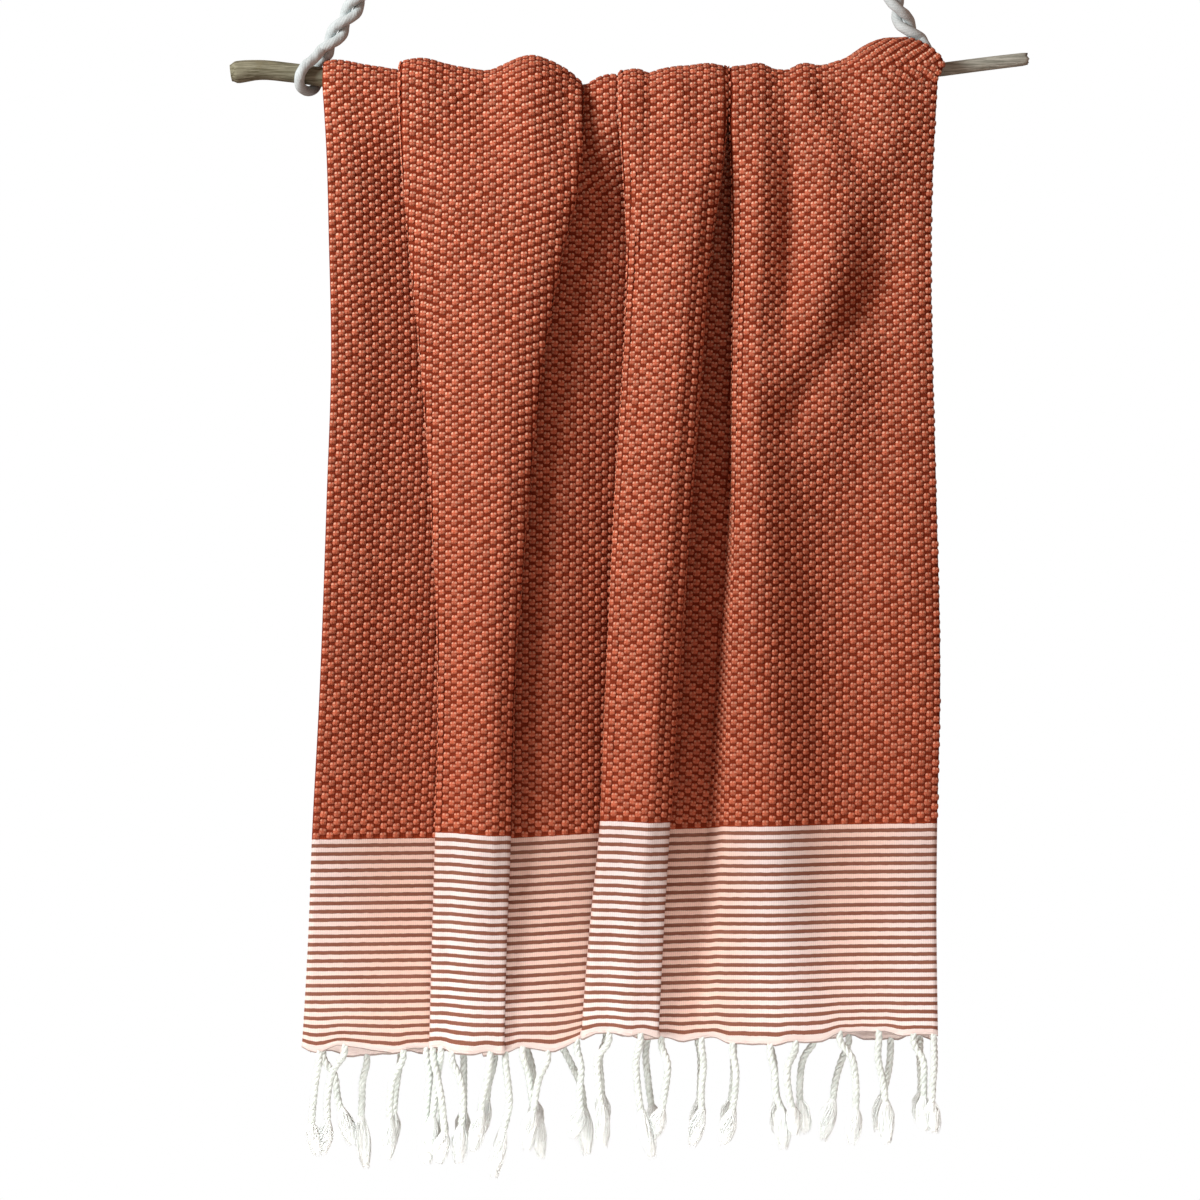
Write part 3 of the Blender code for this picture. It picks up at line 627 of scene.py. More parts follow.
# The pleats' edges on the front layer, as "along" at each level. "face" is the side that the fold
# in front lies on: 1 where it lies to the right of its edge, -1 where it lies to the left.
FRONT_EDGES = (
    # name, face, along at each level
    ("broad_left", 1, (101.0, 103.5, 112.0, 122.0, 133.0, 140.0, 137.0, 134.0, 131.0)),
    ("broad_right", -1, (282.0, 280.0, 259.0, 242.0, 227.0, 213.0, 211.0, 207.0, 204.0)),
    ("narrow_left", 1, (320.0, 323.5, 327.5, 324.0, 315.0, 306.0, 300.5, 291.0, 282.0)),
    ("narrow_right", -1, (426.0, 421.0, 408.0, 400.0, 390.0, 376.0, 369.0, 363.0, 357.0)),
    ("ridge_left", 1, (429.0, 431.0, 433.0, 431.0, 429.0, 427.0, 425.0, 422.0, 420.0)),
)
FRONT_LEFT = (24.0, 28.0, 31.0, 33.0, 28.5, 21.0, 14.0, 10.0, 3.5)  # the selvedges
FRONT_RIGHT = (635.0, 632.0, 629.0, 630.0, 634.0, 638.0, 635.0, 634.0, 635.0)

BACK_EDGES = (
    ("broad_left", 1, (101.0, 102.0, 106.0, 112.0, 120.0, 132.0, 140.0, 145.0, 148.0)),
    ("broad_right", -1, (282.0, 279.0, 268.0, 258.0, 250.0, 244.0, 240.0, 238.0, 236.0)),
    ("narrow_left", 1, (320.0, 318.0, 312.0, 308.0, 304.0, 306.0, 312.0, 316.0, 318.0)),
    ("narrow_right", -1, (426.0, 423.0, 416.0, 408.0, 402.0, 398.0, 397.0, 397.0, 398.0)),
    ("ridge_left", 1, (429.0, 432.0, 438.0, 444.0, 450.0, 456.0, 462.0, 466.0, 470.0)),
)
BACK_LEFT = (24.0, 27.0, 29.0, 30.0, 27.0, 22.0, 17.0, 13.0, 9.0)
BACK_RIGHT = (604.0, 622.0, 630.0, 630.0, 633.0, 636.0, 634.0, 633.0, 634.0)

# How much of a stretch's spare cloth each edge takes: at the top, at three levels down, at the hem.
SHARE_DROPS = (30.0, 190.0, 440.0, 770.0, 985.0)
SHARES = {
    "broad_left": (1.0, 1.0, 1.0, 1.0, 1.0),
    "broad_right": (0.60, 0.54, 0.48, 0.38, 0.34),
    "narrow_left": (0.40, 0.46, 0.52, 0.62, 0.66),
    "narrow_right": (0.50, 0.60, 0.72, 1.0, 1.0),
    "ridge_left": (0.50, 0.40, 0.28, 0.0, 0.0),
}
# How wide each edge's step is, which shows where it has little spare cloth: the ridge's left edge
# is crisp at the top and dies out into a soft slope.
STEPS = {
    "broad_left": (6.0, 6.0, 6.0, 6.0, 6.0),
    "broad_right": (8.0, 8.0, 8.0, 8.0, 8.0),
    "narrow_left": (6.0, 6.0, 6.0, 6.0, 6.0),
    "narrow_right": (8.0, 8.0, 8.0, 8.0, 8.0),
    "ridge_left": (5.0, 5.0, 7.0, 26.0, 34.0),
}
# The cut width of the cloth between the pleats' middles: left selvedge, broad, narrow, ridge.
STRETCHES = (("broad_left",), ("broad_right", "narrow_left"), ("narrow_right", "ridge_left"))
STRETCH_WIDTHS = (228.0, 290.0, 194.0)

for name, _, alongs in FRONT_EDGES:
    print(name, "goes from", alongs[0], "at the stick to", alongs[-1], "at the hem")

# %% How far the panels stand out
# Relief of each panel: a row for each level from a fifth down, "out" at each place across it.
RELIEF_DROPS = (190.0, 310.0, 440.0, 770.0, 985.0)
PANELS = (
    # name, places across it from 0 to 1, then "out" at each of them on the front layer
    (
        "side",
        (0.0, 0.25, 0.5, 0.75, 1.0),
        (
            (29, 28, 21, 12, 5),
            (29, 27, 19, 11, 4),
            (29, 26, 17, 9, 2),
            (28, 24, 16, 8, 2),
            (22, 22, 19, 15, 11),
        ),
    ),
    (
        "broad",
        (0.0, 0.11, 0.23, 0.34, 0.45, 0.56, 0.67, 0.78, 0.90, 1.0),
        (
            (33, 36, 39, 41, 43, 45, 46, 47, 47, 45),
            (33, 35, 38, 40, 42, 44, 45, 46, 46, 44.5),
            (32, 35, 37, 39, 41, 43, 44, 45, 45, 43.5),
            (31, 34, 37, 39, 41, 43, 44, 44, 44, 42.5),
            (31, 33, 34, 35, 36, 36, 36, 35.8, 35.5, 35),
        ),
    ),
    (
        "recess",
        (0.0, 0.25, 0.5, 0.75, 1.0),
        (
            (18, 14, 9, 3, -3),
            (20, 15, 9, 2, -4),
            (18, 16, 12, 4, -6),
            (14, 14, 12, 5, -6),
            (28, 25, 21, 17, 14),
        ),
    ),
    (
        "narrow",
        (0.0, 0.16, 0.33, 0.5, 0.67, 0.84, 1.0),
        (
            (33, 36, 39, 42, 44, 45, 44),
            (33, 36, 39, 42, 44, 45, 44),
            (32, 35, 38, 41, 43, 44, 43),
            (33, 35, 38, 41, 43, 44.5, 43.5),
            (31, 33, 35, 36, 36, 35.8, 35),
        ),
    ),
    ("gutter", (0.0, 0.5, 1.0), ((5, 2, 1), (5, 1, 0), (4, 0, -2), (6, 1, -6), (26, 22, 18))),
    (
        "right",
        (0.0, 0.08, 0.16, 0.24, 0.33, 0.43, 0.53, 0.63, 0.73, 0.83, 0.92, 1.0),
        (
            (30, 37, 31, 21, 27, 34, 32, 25, 22, 23, 24, 22),
            (28, 37, 33, 29, 30, 32, 30, 23, 19, 21, 24, 23),
            (26, 35, 33, 25, 18, 14, 13, 15, 19, 23, 25, 24),
            (20, 26, 31, 32, 26, 18, 15, 15, 18, 23, 26, 26),
            (20, 23, 27, 31, 32, 29, 26, 26, 28, 31, 34, 35),
        ),
    ),
)

# Soft creases that run across the panels: from one end to the other as along and drop, the width
# and how far the cloth stands out along them. A trough has a minus sign.
CREASES = (
    ((600, 60), (470, 345), 24, 7.0),  # the ridge that runs down the right part to the left
    ((592, 205), (478, 372), 20, -8.0),  # and the trough below it
    ((505, 22), (522, 84), 12, 3.0),
    ((545, 30), (556, 110), 12, -2.5),
    ((158, 40), (186, 56), 9, -2.5),  # small dents below the broad fold's crest
    ((192, 26), (212, 74), 12, -2.0),
    ((375, 18), (384, 66), 10, 2.0),
)

BACK_RELIEF = 0.72  # the back layer's pleats stand out by this share of the front ones
BACK_LEAST = 12.0  # and its hollows are filled up to here before the share is taken
# Steps across each panel and across each fold's edge, for the finished cloth.
FINE_STEPS = {"side": 20, "broad": 32, "recess": 16, "narrow": 22, "gutter": 9, "right": 36}
TURNS = (0.15, 0.35, 0.65, 0.85)  # where an edge's two turns start and end
LAP_STEPS = np.array(
    (0.05, 0.10, 0.15, 0.19, 0.23, 0.27, 0.31, 0.35, 0.45, 0.55, 0.65, 0.70, 0.75, 0.80, 0.85, 0.92)
)  # where it has its points
RUN_FALL = 0.08  # the share of a fold's depth that it loses before it turns, and after
PLAIN_LAP = 8.0  # an edge that overlaps less than this is a plain step, with no cloth folded under
# The places that the cloth's cut width is measured between.
MARKS = {"side": 0.0, "broad": 0.45, "narrow": 0.5, "right": 0.08}
print("a row has", sum(FINE_STEPS.values()) + len(FINE_STEPS), "points on its panels")

# %% The cloth's crest over the stick
# Where it is highest, as (along, drop) for each panel.
CREST = {
    "side": ((22, 4.2), (30, 2.0), (42, 1.8), (60, 5.2), (83, 9.0), (98, 11.6), (116, 13.5)),
    "broad": ((100, 2), (113, 0), (128, 0.5), (140, 4), (170, 10), (189, 12), (203, 6.5), (215, 1),
              (233, -3), (247, 1), (258, 6), (268, 12), (276, 18), (283, 25)),
    "recess": ((286, 26.5), (292, 23), (304, 17), (311, 15.5), (318, 16.5), (325, 20),
               (334, 26), (350, 29.5)),
    "narrow": ((320, 12), (332, 10.5), (340, 11), (348, 14.5), (357, 12), (369, 9), (390, 7),
               (409, 5), (420, 6.5)),
    "gutter": ((410, 17.5), (428, 16), (446, 17.0)),
    "right": ((438, 7.5), (450, 6), (462, 5), (470, 9.5), (480, 11.5), (489, 11), (501, 5),
              (511, 5.5), (520, 7), (533, 4), (547, -1), (559, -9), (570, -15), (581, -19),
              (600, -21)),
}
OUT_AT_CREST = 10.0  # the cloth's front and back stand this far out, and this share of its height
OUT_SHARE = 0.62
HOLLOW_SHARE = 0.28  # the same for the panels that lie deep between the folds
SPRING = 12.0  # the crest's arch springs this far below the stick's axis

# The right corner swings to the left of the rope as it goes over.
ARCH_SWING = (
    # turn in degrees from the front, shift of the right selvedge to the left
    (0.0, 0.0),
    (14.0, -7.0),
    (32.0, 0.0),
    (56.0, 14.0),
    (84.0, 31.0),
    (112.0, 36.0),
    (142.0, 35.0),
    (164.0, 33.0),
    (180.0, 31.0),
)
CREST_SWING = 31.0
CREST_FADE = 95.0  # millimetres below the crest in which the pleats take their full depth
SWING_FROM = 545.0  # the cloth to the left of this doesn't swing
ARCH_ROUND = 0.82  # below 1 the arch is fuller than a half circle


def crest_of(name, along):
    """The crest's drop at places along a panel."""
    table = np.array(CREST[name])
    return smooth(table[:, 0], table[:, 1], along)


def out_at_arch(name, along, crest):
    """How far a panel stands out where the arch springs, from its height over the stick."""
    share = HOLLOW_SHARE if name in ("recess", "gutter") else OUT_SHARE
    return OUT_AT_CREST + share * (stick_at(along)[0] - crest)


print("the crest over the broad fold is at", round(float(crest_of("broad", 233.0)), 1), "mm")

# %% [markdown]
# A fold's edge is a flat S in section. The cloth runs on past the edge's middle, turns half a
# round, runs back, turns again and runs on: two half circles joined by straight runs.

# %% A fold's edge


def lap_curve(edge, next_out):
    """How far each step of a fold's edge is from its middle, and its share of the way down."""
    round_out = abs(next_out - edge["out"]) / 4
    half = edge["lap"] / 2
    round_along = min(round_out, half)
    folded = ease((edge["lap"] - PLAIN_LAP) / PLAIN_LAP)
    t = LAP_STEPS
    first = np.clip((t - TURNS[0]) / (TURNS[1] - TURNS[0]), 0, 1)
    second = np.clip((t - TURNS[2]) / (TURNS[3] - TURNS[2]), 0, 1)
    run = np.interp(t, (0, TURNS[0], TURNS[1], TURNS[2], TURNS[3], 1), (0, 1, 1, -1, -1, 0))
    bulge = np.sin(math.pi * first) - np.sin(math.pi * second)
    shift = (run * (half - round_along) + bulge * round_along) * folded + edge["step"] * (t - 0.5)
    runs = np.clip(t / TURNS[0], 0, 1) + np.clip((t - TURNS[3]) / (1 - TURNS[3]), 0, 1)
    turned = (2 - np.cos(math.pi * first) - np.cos(math.pi * second)) / 2
    down = RUN_FALL * runs + (0.5 - RUN_FALL) * turned
    return shift, down * folded + ease(t) * (1 - folded)


# %% One row across the cloth


def at_level(edges, left, right, drop, spare):
    """One row: arrays of along, out, crest and panel number, and where the marks are in them."""
    edge_at = {name: smooth(LEVELS, along, drop) for name, _, along in edges}
    overlap = {}
    for names, cloth in zip(STRETCHES, spare):
        for name in names:
            overlap[name] = cloth * smooth(SHARE_DROPS, SHARES[name], drop)
    near_crest = 1.0 - ease((drop - LEVELS[0]) / CREST_FADE)
    alongs, outs, crests, numbers, marks = [], [], [], [], []
    low, last, filled = smooth(LEVELS, left, drop), None, 0
    for number, ((name, places, rows), (edge, face, _)) in enumerate(
        zip(PANELS, edges + ((None, 0, None),))
    ):
        if edge is None:
            high = smooth(LEVELS, right, drop)
        else:
            lap, step = overlap[edge], smooth(SHARE_DROPS, STEPS[edge], drop)
            middle = edge_at[edge] + face * (lap / 2 - step / 4)
            high = middle - step / 2
        across = np.linspace(0, 1, FINE_STEPS[name] + 1)
        along = low + (high - low) * across
        crest = crest_of(name, along)
        relief = [smooth(RELIEF_DROPS, column, drop) for column in np.array(rows).T]
        out = smooth(places, relief, across)
        out = out + (out_at_arch(name, along, crest) - out) * near_crest
        if last:
            shift, down = lap_curve(last, out[0])
            alongs.append(last["middle"] + shift)
            outs.append(last["out"] + (out[0] - last["out"]) * down)
            before, after = (crest_of(panel, alongs[-1]) for panel in (last["name"], name))
            crests.append(before + (after - before) * down)
            numbers.append(2 * number - 1 + ease((LAP_STEPS - TURNS[1]) / (TURNS[2] - TURNS[1])))
            filled += len(shift)
        if name in MARKS:
            marks.append(filled + int(np.argmin(abs(across - MARKS[name]))))
        alongs.append(along)
        outs.append(out)
        crests.append(crest)
        numbers.append(2 * number + across)
        filled += len(along)
        if edge is not None:
            last = {"name": name, "out": out[-1], "step": step, "middle": middle, "lap": lap}
            low = middle + step / 2
    return *map(np.concatenate, (alongs, outs, crests, numbers)), marks


# %% The spare cloth in the folds
SOLVER_ROUNDS = 14
SOLVER_SHARE = 0.5  # of what is missing, added in each round
FIRST_SPARE = (40.0, 55.0, 50.0)


def lengths(along, out):
    """How far the cloth has run at each point of a row."""
    return np.concatenate([[0.0], np.cumsum(np.hypot(np.diff(along), np.diff(out)))])


def row_across(edges, left, right, drop, spare):
    """at_level with the spare cloth that keeps the weave's width in each stretch, and its run."""
    for _ in range(SOLVER_ROUNDS):
        along, out, crest, number, marks = at_level(edges, left, right, drop, spare)
        run = lengths(along, out)
        for k, wanted in enumerate(STRETCH_WIDTHS):
            have = run[marks[k + 1]] - run[marks[k]]
            spare[k] = max(0.0, spare[k] + SOLVER_SHARE * (wanted - have))
    tail = run[-1] - run[marks[-1]]
    beyond = np.arange(len(run)) > marks[-1]
    woven = run[marks[-1]] + (run - run[marks[-1]]) * TAIL_WIDTH / tail
    return along, out, crest, number, np.where(beyond, woven, run)


TAIL_WIDTH = 186.0  # the weave's width to the right of the ridge
woven_width = sum(STRETCH_WIDTHS) + TAIL_WIDTH
print("the cloth is woven", woven_width, "mm wide")

# %% [markdown]
# The rows run from the front hem up to the stick, over it and down to the back hem. Two things
# are kept for every point besides its place: how far along the weft it lies (u) and how far along
# the warp from the front hem (v). The weave, the stripes and the hem are all drawn by those, so
# they follow the cloth round its folds the way woven threads do.

# %% The hems
# The line that the stripes are woven along, as its drop at both sides of each panel. A panel that
# is lifted higher over the stick carries its stripes higher too.
WOVEN_LINE = {
    "side": (990.0, 990.0),
    "broad": (983.5, 986.0),
    "recess": (990.0, 985.0),
    "narrow": (971.5, 972.5),
    "gutter": (980.0, 979.0),
    "right": (978.0, 974.0),
}
HEM_FADE = 18.0  # millimetres over which the hem's own waves die out above it
# The hems, as (along, drop) of their lower edges.
FRONT_HEM = ((4, 982), (14, 988), (31, 988), (48, 984), (63, 986), (87, 990), (111, 990),
             (145, 986), (181, 992), (220, 988), (252, 987), (269, 985), (281, 977), (293, 971),
             (329, 972), (361, 976), (400, 978), (465, 982), (484, 982), (506, 979), (533, 973),
             (579, 969), (635, 975))
BACK_HEM = ((9, 994), (60, 997), (120, 994), (200, 985), (300, 974), (400, 972), (500, 976),
            (560, 981), (634, 980))

# Rows of points, as shares of the way up from the hem: close together where the hem is rolled.
HEM_ROWS = (
    (0.0, 0.0012, 0.0024, 0.0037, 0.005, 0.0065, 0.008)
    + (0.0095, 0.0115, 0.014, 0.018, 0.023, 0.029, 0.036, 0.044)
)
FRONT_ROWS = np.concatenate([HEM_ROWS, np.linspace(0.053, 1.0, 88)])
BACK_ROWS = np.concatenate([HEM_ROWS, np.linspace(0.056, 1.0, 68)])[::-1]
ARCH_TURNS = np.linspace(0, 180, 25)[1:-1]  # degrees over the stick, from front to back


def hem_drop(hem, along):
    """The drop of a hem's lower edge at places along it."""
    table = np.array(hem)
    return smooth(table[:, 0], table[:, 1], along)


print("the cloth has", len(FRONT_ROWS) + len(ARCH_TURNS) + len(BACK_ROWS), "rows")

# %% The whole grid of the cloth
BACK_ARCH = 0.9  # behind the stick the arch stands out by this share of the front
BACK_TURN = 60.0  # degrees over the stick before its reach changes to that, and while it does
BACK_START = 0.7  # the share of the way up where the back panels start to follow the arch
BACK_FADE = 0.3  # and the share in which they come to do so


def woven_line(number):
    """The stripes' lower end for columns numbered by panel: 2k to 2k + 1 lie on panel k."""
    ends = np.array([WOVEN_LINE[name] for name, _, _ in PANELS])
    return np.interp(number, np.arange(ends.size), ends.ravel())


def cloth_grid():
    """Rows of points in millimetres (along, drop, out), the weft run and the hem's own waves."""
    top = LEVELS[0]
    spare = list(FIRST_SPARE)
    rows, weft, waves = [], [], []
    front_top = row_across(FRONT_EDGES, FRONT_LEFT, FRONT_RIGHT, top, list(FIRST_SPARE))
    spring = stick_at(front_top[0])[0] + SPRING
    low = woven_line(front_top[3])
    for share in FRONT_ROWS:
        level = top + (1.0 - share) * (LEVELS[-1] - top)
        along, out, _, _, run = row_across(FRONT_EDGES, FRONT_LEFT, FRONT_RIGHT, level, spare)
        rows.append(np.stack([along, low + (spring - low) * share, out], 1))
        weft.append(run)
        waves.append(hem_drop(FRONT_HEM, along) - low)

    along, out, crest, _, run = front_top
    swing = ease((along - SWING_FROM) / (FRONT_RIGHT[0] - SWING_FROM))
    crest = np.where(swing > 0, crest_of("right", along - CREST_SWING * swing), crest)
    back_out = OUT_AT_CREST + (out - OUT_AT_CREST) * BACK_ARCH
    swings = np.array(ARCH_SWING)
    for turn in ARCH_TURNS:
        angle = math.radians(turn)
        lift = math.sin(angle) ** ARCH_ROUND
        reach = out + (back_out - out) * ease((turn - BACK_TURN) / BACK_TURN)
        shift = smooth(swings[:, 0], swings[:, 1], turn)
        high = spring + (crest - spring) * lift
        rows.append(np.stack([along - shift * swing, high, reach * math.cos(angle)], 1))
        weft.append(run)
        waves.append(np.zeros(len(along)))

    spare = list(FIRST_SPARE)
    for share in BACK_ROWS:
        level = top + (1.0 - share) * (LEVELS[-1] - top)
        along, out, _, _, run = row_across(BACK_EDGES, BACK_LEFT, BACK_RIGHT, level, spare)
        near_top = ease((share - BACK_START) / BACK_FADE)
        out = np.maximum(out, BACK_LEAST) * BACK_RELIEF * (1 - near_top) + back_out * near_top
        rows.append(np.stack([along, low + (spring - low) * share, -out], 1))
        weft.append(run)
        waves.append(hem_drop(BACK_HEM, along) - low)
    return np.array(rows), np.array(weft), np.array(waves)


grid, weft, waves = cloth_grid()
print("the grid has", grid.shape[0], "rows of", grid.shape[1], "points")

# %% How far the warp has run


def warp_runs(grid, weft):
    """How far along its own warp thread each point is from the front hem."""
    runs = [np.zeros(grid.shape[1])]
    for row, ahead, at, at_ahead in zip(grid, grid[1:], weft, weft[1:]):
        start = np.stack([np.interp(at_ahead, at, row[:, k]) for k in range(3)], 1)
        step = np.linalg.norm(ahead - start, axis=1)
        runs.append(np.interp(at_ahead, at, runs[-1]) + step)
    return np.array(runs)


warp = warp_runs(grid, weft)
from_hem = np.minimum(warp, np.interp(weft, weft[-1], warp[-1]) - warp)
print("the cloth is", round(float(warp[-1].mean())), "mm long from hem to hem")

# %% The creases across the panels
CREASE_END = 0.3  # the share of a crease's length in which it comes and goes


def crease_out(grid):
    """How far the soft creases push each point of the front layer out."""
    along, drop = grid[:, :, 0], grid[:, :, 1]
    pushed = np.zeros(along.shape)
    for start, end, wide, high in CREASES:
        line = np.subtract(end, start)
        share = ((along - start[0]) * line[0] + (drop - start[1]) * line[1]) / (line @ line)
        beside = ((drop - start[1]) * line[0] - (along - start[0]) * line[1]) / np.linalg.norm(line)
        ends = ease(share / CREASE_END + 0.5) * ease((1 - share) / CREASE_END + 0.5)
        pushed += high * ends * np.exp(-((beside / wide) ** 2))
    return pushed


FRONT_ONLY = 5.0  # the cloth that stands out more than this belongs to the front layer
grid[:, :, 2] += np.where(grid[:, :, 2] > FRONT_ONLY, crease_out(grid), 0.0)
print("creases:", len(CREASES))

# %% [markdown]
# A rolled hem never lies flat: it pulls the last few centimetres of cloth into small scallops.
# They fade out upwards, and the stripes beside the hem wave with them.

# %% The hem's scallops
SCALLOPS = (
    # wave in mm of weft, depth in mm, phase
    (71.0, 1.7, 1.3),
    (43.0, 1.3, 0.4),
    (24.0, 0.7, 2.2),
)
SCALLOP_FADE = 13.0  # millimetres above the hem
CURL_SHARE = 0.5  # the cloth curls out half as far as it waves down


def scallop(weft_run, side, table, late):
    """The sum of a table's waves along the weft. side shifts them on one of the hems."""
    return sum(
        deep * np.sin(2 * math.pi * weft_run / wave + phase - late + side)
        for wave, deep, phase in table
    )


side = np.where(warp < warp[-1] / 2, 0.0, 2.0)
fade = np.exp(-from_hem / SCALLOP_FADE)
down = scallop(weft, side, SCALLOPS, 0) * fade
grid[:, :, 1] += down + waves * np.exp(-from_hem / HEM_FADE)
grid[:, :, 2] += scallop(weft, side, SCALLOPS[:2], 1) * fade * CURL_SHARE
print("scallops reach", round(float(abs(down).max()), 1), "mm down")

# %% [markdown]
# ## The towel's cotton
#
# The ground of the cloth is a plain weave, which shows only between the pads of the honeycomb, as a
# dark slot under each of them; its deep colour is partly painted shade for those slots. The border
# and the hem are drawn from the distance to the hem, in stripes that the shuttle left along the
# weft: white ones that puff up between narrow brown ones.

# %% Sizes of the border
YARN = 2.2  # millimetres between the ribs across the weft, drawn coarse enough to show
BORDER_HIGH = 212.5
STRIPE_PITCH = 8.2
WHITE_SHARE = 4.5 / STRIPE_PITCH
STRIPE_SOFT = 0.05  # a stripe's edge fades over this share of the pitch, to both sides
PLAIN_BAND = 1.6  # plain terracotta above the border
HEM_ROLL = 6.5
HEM_SHADE_BAND = 1.3  # painted shade on the underside of the roll
print("the border has", int((BORDER_HIGH - HEM_ROLL) / STRIPE_PITCH), "white stripes")

# %% The pattern of the border


def border_pattern(tree, weave, height):
    """Where the yarn is white, from 0 to 1, and the ribs across the weft."""
    down = add(
        tree, "ShaderNodeMath", {"operation": "SUBTRACT"}, _0=BORDER_HIGH * MM, _1=height
    )
    stripes = add(
        tree, "ShaderNodeMath", {"operation": "DIVIDE"}, _0=down, _1=STRIPE_PITCH * MM
    )
    share = add(tree, "ShaderNodeMath", {"operation": "FRACT"}, _0=stripes)
    past_middle = add(
        tree, "ShaderNodeMath", {"operation": "SUBTRACT"}, _0=share, _1=WHITE_SHARE / 2
    )
    away = add(tree, "ShaderNodeMath", {"operation": "ABSOLUTE"}, _0=past_middle)
    white = add(
        tree,
        "ShaderNodeMapRange",
        {"interpolation_type": "SMOOTHSTEP"},
        Value=away,
        From_Min=WHITE_SHARE / 2 + STRIPE_SOFT,
        From_Max=WHITE_SHARE / 2 - STRIPE_SOFT,
    )
    across = add(tree, "ShaderNodeSeparateXYZ", Vector=weave).outputs["X"]
    rib_turn = add(
        tree, "ShaderNodeMath", {"operation": "MULTIPLY"}, _0=across, _1=2 * math.pi / (YARN * MM)
    )
    rib_wave = add(tree, "ShaderNodeMath", {"operation": "COSINE"}, _0=rib_turn)
    rib = add(tree, "ShaderNodeMath", {"operation": "MULTIPLY_ADD"}, _0=rib_wave, _1=0.5, _2=0.5)
    return white, rib


# %% The colours of the border


def border_colour(tree, white, rib, slub):
    """Brown and white stripes, with painted shade between the ribs and painted peach bounce light
    on the white deep in the pleats.
    """
    brown = add(
        tree,
        "ShaderNodeMix",
        {"data_type": "RGBA"},
        Factor=slub,
        A=colour("#7C4A38"),
        B=colour("#976856"),
    )
    # Painted bounce light: deep in the pleats, measured by depth from the front alone, the white is
    # painted peach for the light that the terracotta throws on it.
    surface = add(tree, "ShaderNodeTexCoord").outputs["Object"]
    backward = add(tree, "ShaderNodeSeparateXYZ", Vector=surface).outputs["Y"]
    hollow = add(
        tree,
        "ShaderNodeMapRange",
        {"interpolation_type": "SMOOTHSTEP"},
        Value=backward,
        From_Min=-0.036,
        From_Max=-0.014,
    )
    painted_bounce_white = add(
        tree,
        "ShaderNodeMix",
        {"data_type": "RGBA"},
        Factor=hollow,
        A=colour("#F1E4E1"),
        B=colour("#F4D2C3"),
    )
    striped = add(
        tree, "ShaderNodeMix", {"data_type": "RGBA"}, Factor=white, A=brown, B=painted_bounce_white
    )
    # Painted shade: the stripes are darker between the ribs.
    shade = add(tree, "ShaderNodeMapRange", Value=rib, To_Min=0.88, To_Max=1.0)
    return add(
        tree,
        "ShaderNodeMix",
        {"data_type": "RGBA", "blend_type": "MULTIPLY"},
        Factor=1.0,
        A=striped,
        B=shade,
    )


# %% Cotton of the ground, the border and the hem


